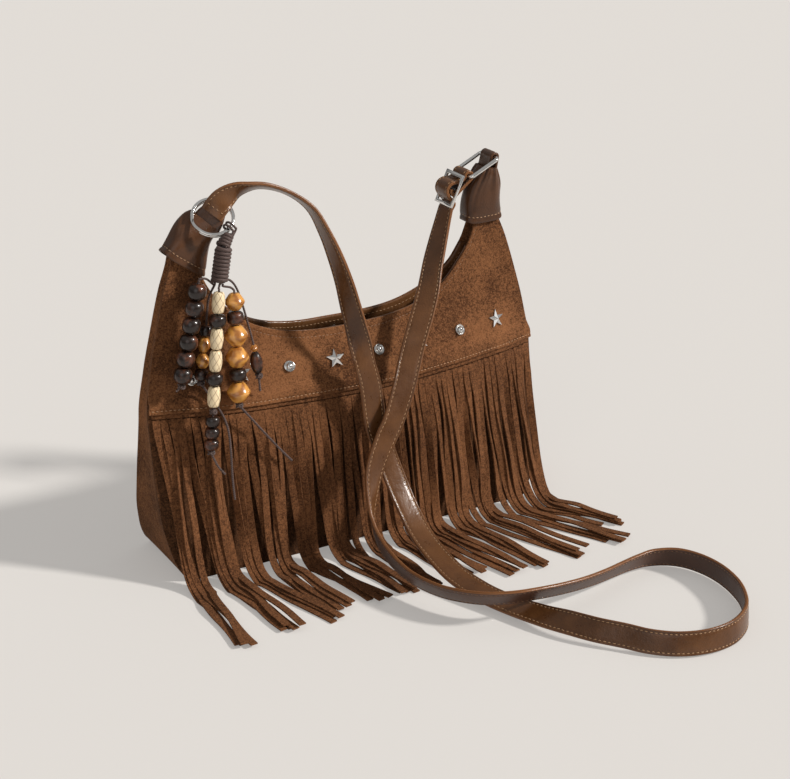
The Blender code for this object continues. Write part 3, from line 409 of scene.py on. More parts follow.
def grid_faces(rows, columns, round_rows, round_columns, across, along):
    """Quads of a grid, and their UVs. across and along are the UV values of columns and rows."""
    r = np.arange(rows if round_rows else rows - 1)
    c = np.arange(columns if round_columns else columns - 1)
    r, c = (a.ravel() for a in np.meshgrid(r, c, indexing="ij"))
    r2, c2 = (r + 1) % rows, (c + 1) % columns
    quads = np.stack([r * columns + c, r * columns + c2, r2 * columns + c2, r2 * columns + c], -1)
    u = np.stack([across[c], across[c + 1], across[c + 1], across[c]], -1)
    v = np.stack([along[r], along[r], along[r + 1], along[r + 1]], -1)
    return quads, np.stack([u, v], -1)


def running(points, closed=False):
    """How far along a line of points each one is, from 0."""
    points = np.asarray(points)
    if closed:
        points = np.vstack([points, points[:1]])
    return np.concatenate([[0], np.cumsum(np.linalg.norm(np.diff(points, axis=0), axis=1))])


def tube_grid(name, grid, material, closed=False, **more):
    """A tube: each row of the grid is one ring round it."""
    rows, columns = grid.shape[:2]
    around = np.arange(columns + 1) / columns
    along = running(grid.mean(axis=1), closed)
    along = along if closed else np.append(along, along[-1])
    quads, uvs = grid_faces(rows, columns, closed, True, around, along)
    faces, uv_list = quads.tolist(), uvs.reshape(-1, 2).tolist()
    if not closed:
        for ring in (0, rows - 1):
            faces.append([ring * columns + k for k in range(columns)])
            uv_list += [[around[k], along[ring]] for k in range(columns)]
    return mesh_piece(name, grid.reshape(-1, 3), faces, material, uvs=uv_list, **more)


def wall_grid(name, outer, inner, material, **more):
    """A thin closed wall between two grids of the same size."""
    rows, columns = outer.shape[:2]
    grid = np.concatenate([outer, inner[::-1]])
    across = running(outer[rows // 2])
    along = running(grid[:, columns // 2], True)
    quads, uvs = grid_faces(2 * rows, columns, True, False, across, along)
    faces, uv_list = quads.tolist(), uvs.reshape(-1, 2).tolist()
    for c in (0, columns - 1):
        for r in range(rows - 1):
            corners = [(r, 0), (r + 1, 0), (2 * rows - 2 - r, 0), (2 * rows - 1 - r, 0)]
            faces.append([k * columns + c for k, _ in corners])
            uv_list += [[across[c], along[k]] for k, _ in corners]
    return mesh_piece(name, grid.reshape(-1, 3), faces, material, uvs=uv_list, **more)


print("tubes and walls ready")


# %% Lines and the frames along them
def smooth_line(points, step, closed=False):
    """A smooth line through all the points, with places about step apart.

    A point may have more values than its place, such as a direction, which go along with it.
    """
    points = np.asarray(points, float)
    count = len(points)
    made = []
    for k in range(count if closed else count - 1):
        if closed:
            a, b, c, d = (points[(k + i) % count] for i in (-1, 0, 1, 2))
        else:
            a, b, c = points[max(k - 1, 0)], points[k], points[k + 1]
            d = points[min(k + 2, count - 1)]
        pieces = max(1, round(float(np.linalg.norm(c[:3] - b[:3])) / step))
        for i in range(pieces):
            t = i / pieces
            made.append(0.5 * (2 * b + (c - a) * t + (2 * a - 5 * b + 4 * c - d) * t * t
                               + (3 * b - a - 3 * c + d) * t ** 3))
    if not closed:
        made.append(points[-1])
    return np.array(made)


def unit(v):
    v = np.asarray(v, float)
    return v / np.maximum(np.linalg.norm(v, axis=-1, keepdims=True), 1e-12)


def directions(points, closed=False):
    """The way along a line at each of its points."""
    if closed:
        return unit(np.roll(points, -1, axis=0) - np.roll(points, 1, axis=0))
    return unit(np.gradient(points, axis=0))


def carried_frames(points, first_side, closed=False):
    """Side and normal directions along a line, turned as little as possible."""
    along = directions(points, closed)
    side = np.array(first_side, float)
    sides = []
    for way in along:
        side = unit(side - way * side.dot(way))
        sides.append(side)
    sides = np.array(sides)
    return sides, np.cross(along, sides)


def ring_points(sides):
    angles = 2 * math.pi * np.arange(sides) / sides
    return np.stack([np.cos(angles), np.sin(angles)], -1)


def swept(points, sides, normals, profile):
    """A grid of rings: profile points carried along a line."""
    return (points[:, None] + sides[:, None] * profile[None, :, :1]
            + normals[:, None] * profile[None, :, 1:])


print("lines and frames ready")

# %% [markdown]
# ## Shapes that repeat
# Stitches, fringe strips, studs and beads repeat or follow a line, so Geometry Nodes make them.
# A tree is built once with named inputs and run on a mesh of lines or points. The result is
# kept as a plain mesh, because the exported model can't hold instances.


# %% Tools for Geometry Nodes
class Shape(Graph):
    """A Geometry Nodes tree with named inputs."""

    def __init__(self, name, inputs):
        group = bpy.data.node_groups.new(name, "GeometryNodeTree")
        group.interface.new_socket("Geometry", in_out="INPUT", socket_type="NodeSocketGeometry")
        group.interface.new_socket("Geometry", in_out="OUTPUT", socket_type="NodeSocketGeometry")
        for title, kind in inputs.items():
            group.interface.new_socket(title, in_out="INPUT", socket_type="NodeSocket" + kind)
        super().__init__(group)
        self.start = group.nodes.new("NodeGroupInput")
        self.end = group.nodes.new("NodeGroupOutput")

    def given(self, title):
        return Value(self, self.start.outputs[title])

    def named(self, title, kind="FLOAT_VECTOR"):
        return self.add("GeometryNodeInputNamedAttribute", {"data_type": kind}, {"Name": title})

    def finish(self, geometry):
        """Every tree ends in real geometry with its material."""
        real = self.add("GeometryNodeRealizeInstances", None, {"Geometry": geometry})
        done = self.add("GeometryNodeSetMaterial", None,
                        {"Geometry": real, "Material": self.given("Material")})
        self.tree.links.new(done.socket, self.end.inputs[0])
        return self

    def stand(self):
        """A rotation that stands a form along each point's own way."""
        return self.add("FunctionNodeAlignRotationToVector", {"axis": "Z"},
                        {"Vector": self.named("way")})

    def spun(self, rotation, low, high):
        """A rotation with a random turn added, between two sets of angles."""
        spin = self.add("FunctionNodeRandomValue", {"data_type": "FLOAT_VECTOR"},
                        {0: low, 1: high, "Seed": self.given("Seed")})
        turn_by = self.add("FunctionNodeEulerToRotation", None, {0: spin})
        return self.add("FunctionNodeRotateRotation", {"rotation_space": "LOCAL"},
                        {"Rotation": rotation, "Rotate By": turn_by})

    def set_form(self, rotation):
        """Sets the given form on every point and ends the tree."""
        form = self.add("GeometryNodeObjectInfo", None, {"Object": self.given("Form")})
        form = Value(self, form.socket.node.outputs["Geometry"])
        return self.finish(self.add("GeometryNodeInstanceOnPoints", None,
                                    {"Points": self.given("Geometry"), "Instance": form,
                                     "Rotation": rotation}))


def line_mesh(name, lines, **attributes):
    """A mesh of open lines. Each attribute is a list of arrays, one for each line."""
    mesh = bpy.data.meshes.new(name)
    edges, start = [], 0
    for line in lines:
        edges += [(start + i, start + i + 1) for i in range(len(line) - 1)]
        start += len(line)
    mesh.from_pydata([tuple(p) for line in lines for p in line], edges, [])
    for title, values in attributes.items():
        flat = np.concatenate([np.asarray(v, float) for v in values])
        if flat.ndim == 2:
            mesh.attributes.new(title, "FLOAT_VECTOR", "POINT").data.foreach_set("vector", flat.ravel())
        else:
            mesh.attributes.new(title, "FLOAT", "POINT").data.foreach_set("value", flat)
    return mesh


def grown(name, source, shape, angle=None, **values):
    """Runs a tree on a mesh and keeps the result as a plain mesh at the origin.

    An angle of 0 leaves it flat, and no angle keeps the edges that the tree made sharp.
    """
    holder = bpy.data.objects.new(name + "_source", source)
    bpy.context.scene.collection.objects.link(holder)
    modifier = holder.modifiers.new("grow", "NODES")
    modifier.node_group = shape.tree
    for item in shape.tree.interface.items_tree:
        if item.item_type == "SOCKET" and item.in_out == "INPUT" and item.name in values:
            modifier[item.identifier] = values[item.name]
    graph = bpy.context.evaluated_depsgraph_get()
    mesh = bpy.data.meshes.new_from_object(holder.evaluated_get(graph), depsgraph=graph)
    holder.modifiers.remove(modifier)
    bpy.data.objects.remove(holder)
    made = bpy.data.objects.new(name, mesh)
    bpy.context.scene.collection.objects.link(made)
    if angle:
        ease(mesh, angle)
    elif angle is None:
        mesh.shade_smooth()
    print(name, "has", len(mesh.polygons), "faces")
    return made


# %% [markdown]
# ## Stitches
# A row of stitches is a line that goes in and out of the leather. Only the short pieces on top
# show, so a small ellipsoid is set at equal steps along the seam and turned along it. A little
# random turn keeps the row from looking printed.


# %% The stitch tree
def stitch_tree():
    shape = Shape("stitch_row", {"Pitch": "Float", "Length": "Float", "Width": "Float",
                                 "Seed": "Int", "Material": "Material"})
    curve = shape.add("GeometryNodeMeshToCurve", None, {"Mesh": shape.given("Geometry")})
    spaced = shape.add("GeometryNodeResampleCurve", {"mode": "LENGTH"},
                       {"Curve": curve, "Length": shape.given("Pitch")})
    ball = shape.add("GeometryNodeMeshUVSphere", None, {"Segments": 6, "Rings": 5, "Radius": 0.5})
    size = shape.add("ShaderNodeCombineXYZ", None,
                     {0: shape.given("Length"), 1: shape.given("Width"), 2: shape.given("Width")})
    stitch = shape.add("GeometryNodeTransform", None, {"Geometry": ball, "Scale": size})
    ahead = shape.add("GeometryNodeInputTangent")
    first = shape.add("FunctionNodeAlignRotationToVector", {"axis": "X"}, {"Vector": ahead})
    second = shape.add("FunctionNodeAlignRotationToVector", {"axis": "Z", "pivot_axis": "X"},
                       {"Rotation": first, "Vector": shape.named("face")})
    turned = shape.spun(second, (0, 0, -0.12), (0, 0, 0.12))
    rows = shape.add("GeometryNodeInstanceOnPoints", None,
                     {"Points": spaced, "Instance": stitch, "Rotation": turned})
    return shape.finish(rows)


STITCH_ROW = stitch_tree()


def stitches(name, lines, faces, material, pitch, length, width):
    """Stitch rows on lines whose faces look the given ways, sizes in mm."""
    source = line_mesh(name, lines, face=faces)
    made = grown(name, source, STITCH_ROW, Pitch=pitch * MM, Length=length * MM, Width=width * MM,
                 Seed=4, Material=material)
    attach(made, "root")


# %% [markdown]
# ## The charm's cords
# Five waxed cords leave the wrap and carry the beads. A cord is a fixed length of something
# limp, so its line comes first: the same places as the solid's, joined by one smooth curve.
# The tube round that line is turned with it, so that the cord's lay runs evenly.

# %% Lines of the five cords
CORD, BEAD_GAP = 1.5 * MM, 0.3 * MM
# A knot between two beads: its middle and its whole length along the cord.
KNOT_MIDDLE, KNOT_LENGTH = 2.7 * MM, 5.5 * MM
WRAP_TOP, WRAP_BOTTOM = np.array([-93, -20, 226]) * MM, np.array([-97.4, -20, 201.5]) * MM
DOWN = unit(WRAP_BOTTOM - WRAP_TOP)
# Kind of bead: radius and length in mm.
BEAD_SIZES = {"ball": (6.2, 11.0), "rondelle": (5.7, 8.8), "small_rondelle": (4.9, 7.6),
              "barrel": (4.6, 14.6), "short_bicone": (6.8, 12.0), "bicone": (8.1, 14.4),
              "small_bicone": (4.8, 10.5), "pip": (2.7, 4.8), "olive": (4.3, 15.0)}
# Strand: its foot on the wrap's end, the way to its beads, their line, the beads, and its tail.
STRANDS = (
    ((-2.8, 0.6), ((-106, -19.2, 205.5), (-110.6, -19, 206)),
     ((-111.4, -19, 203.2), (-126.1, -21, 142)), ("ball",) * 6,
     ((-131.5, -21.5, 133),)),
    ((-0.9, -2.6), ((-99.6, -24, 199.4),),
     ((-99.9, -25, 197.6), (-110.5, -31.5, 116)),
     ("barrel", "rondelle", "barrel", "barrel", "rondelle", "barrel", None,
      "small_rondelle", "small_rondelle", "small_rondelle"),
     ((-113.2, -36, 87), (-111, -38.5, 81), (-107.5, -41, 76))),
    ((2.4, -0.8), ((-90, -20.8, 197.5),),
     ((-87.4, -21, 193.5), (-90.6, -29.5, 119)),
     ("short_bicone", "rondelle", "bicone", "bicone", "rondelle", "bicone"),
     ((-83.5, -32.5, 108), (-77, -35, 99), (-66.3, -39, 84.7), (-58.4, -41, 75))),
    ((2, 2.6), ((-88, -10.5, 200), (-80, -10.5, 190)),
     ((-76, -23.5, 156), (-74, -26.5, 132)), ("pip", "olive"),
     ((-74, -27.5, 124),)),
    ((-1.6, 2.8), ((-103, -14.8, 190),),
     ((-104.9, -13.6, 172), (-113.5, -19.6, 132)),
     ("small_rondelle", "small_bicone", "small_bicone", "small_rondelle"),
     ((-108, -22, 125), (-101.5, -34, 106), (-102.3, -41, 70), (-102.8, -44.5, 58))),
)


def strand_line(foot, leads, line, beads, tail):
    """The places of one cord in metres, its beads as (kind, centre, direction), and its knots."""
    foot = np.array([*foot, 0]) * MM
    foot = WRAP_BOTTOM + foot + DOWN * (0.3 * MM - foot.dot(DOWN))
    start, end = np.array(line[0]) * MM, np.array(line[1]) * MM
    along = unit(end - start)
    threaded, knots, at = [], [], 0.0
    for kind in beads:
        if kind is None:
            knots.append(start + along * (at + KNOT_MIDDLE))
            at += KNOT_LENGTH
            continue
        length = BEAD_SIZES[kind][1] * MM
        threaded.append((kind, start + along * (at + length / 2), along))
        at += length + BEAD_GAP
    after = start + along * (at + 1.5 * MM)
    knots.append(after)
    straight = [start + along * (at * part) for part in (0, 0.25, 0.5, 0.75, 1)]
    route = [foot, foot + DOWN * CORD] + [np.array(p) * MM for p in leads]
    route += [start - along * CORD] + straight + [after] + [np.array(p) * MM for p in tail]
    return smooth_line(route, 1.2 * MM), threaded, knots


# %% Cords and their knots
def knot_grid(centre, along, radius=1.5 * MM, cord=0.8 * MM):
    """A small overhand knot: a cord that goes three times round as it goes twice through."""
    turns = np.linspace(0, 2 * math.pi, 73)[:-1]
    first = unit(np.cross(along, (0.3, 1, 0.2)))
    second = np.cross(along, first)
    reach = radius * (1 + 0.45 * np.cos(3 * turns))
    line = (centre + first * (reach * np.cos(2 * turns))[:, None]
            + second * (reach * np.sin(2 * turns))[:, None]
            + along * (radius * 0.75 * np.sin(3 * turns))[:, None])
    sides, normals = carried_frames(line, along, True)
    return swept(line, sides, normals, ring_points(8) * cord)


charm_beads, cord_pieces = {}, {}
for number, parts in enumerate(STRANDS, 1):
    line, threaded, knots = strand_line(*parts)
    sides, normals = carried_frames(line, (1, 0, 0))
    cord = tube_grid(f"strand_{number}_waxed_cord",
                     swept(line, sides, normals, ring_points(10) * CORD / 2), WAXED_CORD)
    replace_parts(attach(cord, "charm"), f"strand_{number}_cord")
    tied = []
    for k, place in enumerate(knots, 1):
        knot = tube_grid(f"strand_{number}_knot_{k}", knot_grid(place, threaded[0][2]), WAXED_CORD,
                         closed=True)
        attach(knot, "charm")
        tied.append(knot)
    charm_beads[number] = threaded
    cord_pieces[number] = (cord, line, tied)
    print("cord", number, "is", round(running(line)[-1] * 1000), "mm long with", len(threaded), "beads")

# %% [markdown]
# ## Beads
# A bead is a turned form with a bore and two rounded ends. The tree takes one point for each
# bead with the way its cord runs there, and sets a copy of the turned form on it. Each kind on
# each cord is one piece, so that it can be repainted by itself.

# %% Turned forms of the beads
BEAD_SIDES, BEAD_EDGE, BORE_RADIUS = 28, 55, 0.95
# A full turn, near enough for a random one.
FULL_TURN = 6.28
# Outlines as shares of the radius and the length, from one end to the other.
BEAD_OUTLINES = {
    "ball": ((0.3, -0.49), (0.62, -0.46), (0.88, -0.32), (0.985, -0.13), (0.985, 0.13), (0.88, 0.32),
             (0.62, 0.46), (0.3, 0.49)),
    "rondelle": ((0.34, -0.48), (0.7, -0.46), (0.92, -0.33), (1, -0.12), (1, 0.12), (0.92, 0.33),
                 (0.7, 0.46), (0.34, 0.48)),
    "barrel": ((0.4, -0.49), (0.64, -0.47), (0.8, -0.4), (0.93, -0.25), (1, -0.08), (1, 0.08),
               (0.93, 0.25), (0.8, 0.4), (0.64, 0.47), (0.4, 0.49)),
    "bicone": ((0.3, -0.49), (0.44, -0.47), (0.6, -0.38), (0.82, -0.2), (0.97, -0.07), (1, 0),
               (0.97, 0.07), (0.82, 0.2), (0.6, 0.38), (0.44, 0.47), (0.3, 0.49)),
    "olive": ((0.35, -0.49), (0.55, -0.46), (0.78, -0.34), (0.95, -0.15), (1, 0), (0.95, 0.15),
              (0.78, 0.34), (0.55, 0.46), (0.35, 0.49)),
}
BEAD_FORM = {"small_rondelle": "rondelle", "short_bicone": "bicone", "small_bicone": "bicone",
             "pip": "bicone"}
BEAD_LOOK = {"ball": (DARK_WOOD, "dark_bead"), "rondelle": (DARK_WOOD, "dark_bead"),
             "small_rondelle": (DARK_WOOD, "dark_bead"), "olive": (DARK_WOOD, "dark_bead"),
             "barrel": (CARVED_WOOD, "cream_bead"), "short_bicone": (AMBER_WOOD, "amber_bead"),
             "bicone": (AMBER_WOOD, "amber_bead"), "small_bicone": (AMBER_WOOD, "amber_bead"),
             "pip": (AMBER_WOOD, "amber_bead")}


def bead_form(kind):
    """The turned form, one unit round and one unit long, with its bore."""
    radius, length = BEAD_SIZES[kind]
    outline = BEAD_OUTLINES[BEAD_FORM.get(kind, kind)]
    bore = BORE_RADIUS / radius
    rings = [(bore, -0.44), *outline, (bore, 0.44)]
    if kind == "barrel":
        waisted = [1 - 0.05 * (1 - math.cos(2 * math.pi * h * 3)) * (abs(h) < 0.4) for _, h in rings]
        rings = [(r * share, h) for (r, h), share in zip(rings, waisted)]
    flat = ring_points(BEAD_SIDES)
    grid = np.array([[(*(p * r * radius * MM), h * length * MM) for p in flat] for r, h in rings])
    around = np.arange(BEAD_SIDES + 1) / BEAD_SIDES
    along = np.array([h * length * MM for _, h in rings] + [rings[0][1]])
    quads, uvs = grid_faces(len(rings), BEAD_SIDES, True, True, around, along)
    return mesh_piece("form_" + kind, grid.reshape(-1, 3), quads.tolist(), BEAD_LOOK[kind][0],
                      uvs=uvs.reshape(-1, 2), angle=BEAD_EDGE)


BEADS = Shape("beads_on_cord", {"Form": "Object", "Seed": "Int", "Material": "Material"})
BEADS.set_form(BEADS.spun(BEADS.stand(), (0, 0, 0), (0, 0, FULL_TURN)))
print("bead forms:", len(BEAD_OUTLINES), "for", len(BEAD_SIZES), "kinds")

for number, threaded in charm_beads.items():
    pieces = list(cord_pieces[number][2])
    for kind in sorted({kind for kind, _, _ in threaded}):
        places = [centre for k, centre, _ in threaded if k == kind]
        ways = [way for k, _, way in threaded if k == kind]
        nodes = [f"strand_{number}_bead_{i}" for i, (k, _, _) in enumerate(threaded, 1) if k == kind]
        source = line_mesh(kind, [[p] for p in places], way=[np.array([w]) for w in ways])
        form = bead_form(kind)
        beads = grown(f"strand_{number}_{kind}_beads", source, BEADS, BEAD_EDGE, Form=form,
                      Seed=number, Material=BEAD_LOOK[kind][0])
        bpy.data.objects.remove(form)
        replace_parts(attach(beads, "charm"), *nodes)
        pieces.append(beads)
    cord, line, _ = cord_pieces[number]
print("beads threaded")

# %% [markdown]
# ## The wrap and the loop
# The cords are gathered under a tight winding of thicker cord, nine turns high, and two bights
# above it hang over the key ring. A winding is a spiral from Geometry Nodes with a round section,
# made upright and then stood on its own axis. A second, thinner one winds the loop's neck.


# %% Wind the wrap
def winding_tree():
    shape = Shape("winding", {"Turns": "Float", "Radius": "Float", "Height": "Float",
                              "Cord": "Float", "Material": "Material"})
    spiral = shape.add("GeometryNodeCurveSpiral", None,
                       {"Resolution": 36, "Rotations": shape.given("Turns"),
                        "Start Radius": shape.given("Radius"), "End Radius": shape.given("Radius"),
                        "Height": shape.given("Height")})
    section = shape.add("GeometryNodeCurvePrimitiveCircle", None,
                        {"Resolution": 10, "Radius": shape.given("Cord")})
    wound = shape.add("GeometryNodeCurveToMesh", None,
                      {"Curve": spiral, "Profile Curve": section, "Fill Caps": True})
    return shape.finish(wound)


def stood_on(points, start, direction):
    """Points made along Z, moved to start and turned along a direction."""
    direction = unit(direction)
    first = unit(np.cross((0, 1, 0.2), direction))
    second = np.cross(direction, first)
    points = np.asarray(points)
    return start + points[..., :1] * first + points[..., 1:2] * second + points[..., 2:] * direction


WINDING = winding_tree()


def winding(name, way, turns, radius, height, cord, above=0.0):
    """A spiral from the wrap's top along a way. radius is its own, cord that of its section."""
    made = grown(name, bpy.data.meshes.new("empty"), WINDING, Turns=float(turns), Radius=radius,
                 Height=float(height), Cord=cord, Material=WAXED_CORD)
    places = np.array([v.co for v in made.data.vertices]) + (0, 0, above)
    made.data.vertices.foreach_set("co", stood_on(places, WRAP_TOP, way).astype(np.float32).ravel())
    made.data.update()
    return made


WRAP_TURNS, WRAP_RADIUS, WRAP_CORD = 9, 4.5 * MM, 1.25 * MM
# The core inside the winding: radius and distance down from the wrap's top, in mm.
CORE_RINGS = ((0.5, 0.5), (3.8, 0.7), (4.3, 1.3), (4.3, 23.4), (3.8, 24.1), (0.5, 24.3))
wrap_length = np.linalg.norm(WRAP_BOTTOM - WRAP_TOP)
wrap = winding("charm_winding", DOWN, WRAP_TURNS, WRAP_RADIUS, wrap_length - 2 * WRAP_CORD, WRAP_CORD,
               WRAP_CORD)
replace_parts(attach(wrap, "charm"), "charm_wrap")

core = np.array([[(*(p * r * MM), h * MM) for p in ring_points(20)] for r, h in CORE_RINGS])
core = tube_grid("charm_core", stood_on(core, WRAP_TOP, DOWN), WAXED_CORD)
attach(core, "charm")
print("wrap is", round(float(wrap_length) * 1000, 1), "mm long")

# %% Hang the loop on the key ring
# The ring's middle, and two directions in its plane: across, and roughly up.
RING_MIDDLE, ACROSS = np.array([-95.1, -8.5, 242.2]) * MM, unit((0.5, -0.7, -0.5))
KEY_RING_UP = np.array([0.846, 0.287, 0.464])
# The ring's radius and the reach of a bight round its wire, in mm.
KEY_RING_RADIUS, LOOP_REACH = 13.3, 3.4
FOOT_SIDE = 2.1 * CORD
NECK_RADIUS, NECK_PITCH, NECK_CORD = 3.2 * MM, 2.1 * MM, 1.2 * MM

LOOP_PLACE = RING_MIDDLE + unit(ACROSS * 0.995 + KEY_RING_UP * 0.1) * KEY_RING_RADIUS * MM
wire_way = unit(KEY_RING_UP - ACROSS * KEY_RING_UP.dot(ACROSS))
loop_side = unit((wire_way[1], -wire_way[0], 0))
loop_up = np.cross(loop_side, wire_way)
loop_up = -loop_up if loop_up[2] < 0 else loop_up
foot = WRAP_TOP - DOWN * (CORD / 2 + 0.6 * MM)
bow = np.radians(np.linspace(-20, 200, 9))
bow = loop_side * np.cos(bow)[:, None] + loop_up * np.sin(bow)[:, None]
for number, (shift, wider) in enumerate(((-0.85, 0.5), (0.85, 0.6)), 1):
    arc = LOOP_PLACE + bow * ((LOOP_REACH + wider) * MM)
    arc = arc + wire_way * shift * CORD
    ends = [foot + loop_side * side + wire_way * shift * 0.8 * CORD for side in (FOOT_SIDE, -FOOT_SIDE)]
    line = smooth_line([ends[0] + DOWN * MM, ends[0], *arc, ends[1], ends[1] + DOWN * MM], 0.6 * MM)
    sides, normals = carried_frames(line, wire_way)
    loop = tube_grid(f"charm_loop_{number}", swept(line, sides, normals, ring_points(10) * CORD / 2),
                     WAXED_CORD)
    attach(loop, "charm")
    if number == 1:
        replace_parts(loop, "charm_loop")
neck_way = LOOP_PLACE - WRAP_TOP
neck_length = np.linalg.norm(neck_way) - LOOP_REACH * MM
neck = winding("charm_neck", neck_way, neck_length / NECK_PITCH, NECK_RADIUS, neck_length, NECK_CORD)
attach(neck, "charm")
print("neck is", round(float(neck_length) * 1000, 1), "mm long")
knot_place = WRAP_TOP - DOWN * 1.5 * MM - loop_side * 3.2 * MM
top_knot = tube_grid("charm_top_knot", knot_grid(knot_place, loop_side, 1.7 * MM), WAXED_CORD,
                     closed=True)
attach(top_knot, "charm")
print("wrap and loop made")

# %% [markdown]
# ## The bag's own shape
# The bag is a soft shell. Its half width and half depth change with height, and its front and
# back bulge most in the middle and fall back to the mouth. The same few tables as in the solids
# are joined here by smooth curves, and every sheet of the bag is laid on that one surface.

# %% Measure the shell
SUEDE_THICK, LEATHER_THICK, GAP = 1.6 * MM, 1.4 * MM, 0.3 * MM
HALF_WIDTH, NECK_HEIGHT = 0.150, 0.220
SEAM_HEIGHT, SEAM_RISE = 0.112, 0.003
MOUTH_LOW, MOUTH_RISE, MOUTH_SHARE, MOUTH_POWER = 0.1515, 0.0615, 0.86, 3
BACK_EXTRA = 0.002
BASE_DEPTH, BELLY_DEPTH, MOUTH_DEPTH, NECK_DEPTH = 0.035, 0.036, 0.0085, 0.0045
RIGHT_LEAN = 0.003
SIDE_SHAPE = ((0, 0.887), (0.03, 0.925), (0.09, 0.96), (0.2, 0.99), (0.36, 1), (0.5, 1),
              (0.64, 0.97), (0.77, 0.923), (0.89, 0.872), (0.97, 0.828), (1.05, 0.8))
EDGE_FALL = ((0, 1), (0.14, 0.7), (0.28, 0.44), (0.41, 0.24), (0.51, 0.12), (0.7, 0.04), (0.95, 0))
BELLY_FALL = ((0, 0.97), (0.14, 1), (0.28, 0.95), (0.41, 0.82), (0.51, 0.69), (0.6, 0.47),
              (0.69, 0.07), (0.88, 0), (1.2, 0))


def smooth_share(table, at):
    """Reads a table on a smooth curve that never swings past its rows."""
    x, y = np.array(table, float).T
    slope = np.diff(y) / np.diff(x)
    both = slope[1:] * slope[:-1]
    inside = np.where(both > 0, 2 * both / (slope[1:] + slope[:-1] + 1e-12), 0)
    m = np.concatenate([[slope[0]], inside, [slope[-1]]])
    at = np.clip(at, x[0], x[-1])
    k = np.clip(np.searchsorted(x, at, side="right") - 1, 0, len(x) - 2)
    h = x[k + 1] - x[k]
    t = (at - x[k]) / h
    return ((1 + 2 * t) * (1 - t) ** 2 * y[k] + t * (1 - t) ** 2 * h * m[k]
            + t * t * (3 - 2 * t) * y[k + 1] + t * t * (t - 1) * h * m[k + 1])


def half_width(z):
    return HALF_WIDTH * smooth_share(SIDE_SHAPE, z / NECK_HEIGHT)


def edge_depth(z):
    return NECK_DEPTH + (BASE_DEPTH - NECK_DEPTH) * smooth_share(EDGE_FALL, z / NECK_HEIGHT)


def depth(x, z):
    edge = edge_depth(z)
    past_mouth = np.clip((z - MOUTH_LOW + 0.004) / 0.008, 0, 1)
    floor = MOUTH_DEPTH + (edge + (MOUTH_DEPTH - NECK_DEPTH) * 0.6 - MOUTH_DEPTH) * past_mouth
    middle = floor + (BELLY_DEPTH - floor) * smooth_share(BELLY_FALL, z / NECK_HEIGHT)
    bulge = np.maximum(0, 1 - (x / half_width(z)) ** 2)
    return edge + (np.maximum(edge, middle) - edge) * bulge


def lean(z):
    return RIGHT_LEAN * np.sin(math.pi * np.minimum(1, z / NECK_HEIGHT))


def seam_height(u):
    return SEAM_HEIGHT + SEAM_RISE * u * u


def top_height(u, extra=0.0):
    a = np.abs(u)
    mouth = MOUTH_LOW + extra + (MOUTH_RISE - extra) * np.minimum(1, a / MOUTH_SHARE) ** MOUTH_POWER
    neck = 0.213 + 0.014 * (a - MOUTH_SHARE) / (1 - MOUTH_SHARE)
    return np.where(a <= MOUTH_SHARE, mouth, neck)


print("the shell is", round(2 * float(half_width(0.08)), 3), "m wide")

# %% Crumple the shell and find places on it
waves = random.Random(11)
FOLDS = [(waves.uniform(60, 190), waves.uniform(0, math.pi), waves.uniform(0, FULL_TURN))
         for _ in range(14)]


def crumple(x, z):
    """Slow unevenness of the sheet, in metres, the same for every layer of a wall."""
    total = sum(np.sin(f * (x * math.cos(a) + z * math.sin(a)) + p) / (f / 60) for f, a, p in FOLDS)
    held = np.clip((half_width(z) - np.abs(x)) / 0.012, 0, 1)
    return total * 0.00028 * held


def crease(x, z, start, end, deep, wide):
    """A soft valley along a line from start to end, in the wall's own flat places."""
    start, end = np.array(start), np.array(end)
    way = end - start
    t = np.clip(((x - start[0]) * way[0] + (z - start[1]) * way[1]) / way.dot(way), 0, 1)
    away = np.hypot(x - start[0] - t * way[0], z - start[1] - t * way[1])
    return -deep * np.exp(-(away / wide) ** 2) * np.sin(math.pi * np.clip(t * 0.8 + 0.1, 0, 1))


# The creases under the caps and where the mouth's ends turn up: from, to, depth and width in mm.
CREASES = (((0.100, 0.193), (0.124, 0.199), 1.1, 3.5), ((0.082, 0.178), (0.112, 0.184), 0.8, 5.0),
           ((-0.122, 0.196), (-0.102, 0.186), 0.9, 4.0), ((-0.112, 0.172), (-0.132, 0.150), 0.7, 5.0),
           ((0.104, 0.160), (0.132, 0.146), 0.6, 6.0))


def dents(x, z):
    """How far the crumples and creases move the sheet out."""
    total = crumple(x, z)
    for start, end, deep, wide in CREASES:
        total = total + crease(x, z, start, end, deep * MM, wide * MM)
    return total


def on_shell(side, u, z, out):
    """A place on the front (side -1) or back (side 1) wall, moved outwards."""
    x = u * half_width(z)
    y = side * (depth(x, z) + dents(x, z) + out)
    return np.stack([x + lean(z), y, z + 0 * x], -1)


def spread(low, high, near, step):
    """Distances from low to high, with chosen ones near both ends."""
    near = np.array(near)
    first, last = low + near[-1], high - near[-1]
    count = max(2, int(np.ceil((last - first) / step)))
    return np.concatenate([low + near, np.linspace(first, last, count + 1)[1:-1], (high - near)[::-1]])


ACROSS_WALL = np.linspace(-1, 1, 161)
print("creases:", len(CREASES), "columns on a wall:", len(ACROSS_WALL))

# %% [markdown]
# ## The yoke, the back and the inside
# The yoke is the plain upper front. Its lower edge laps over the fringe and its top edge is the
# mouth's hem. A stitched row pulls the suede in, so a shallow channel is pressed into the grid
# there: that is why its rows are packed closely near both edges.

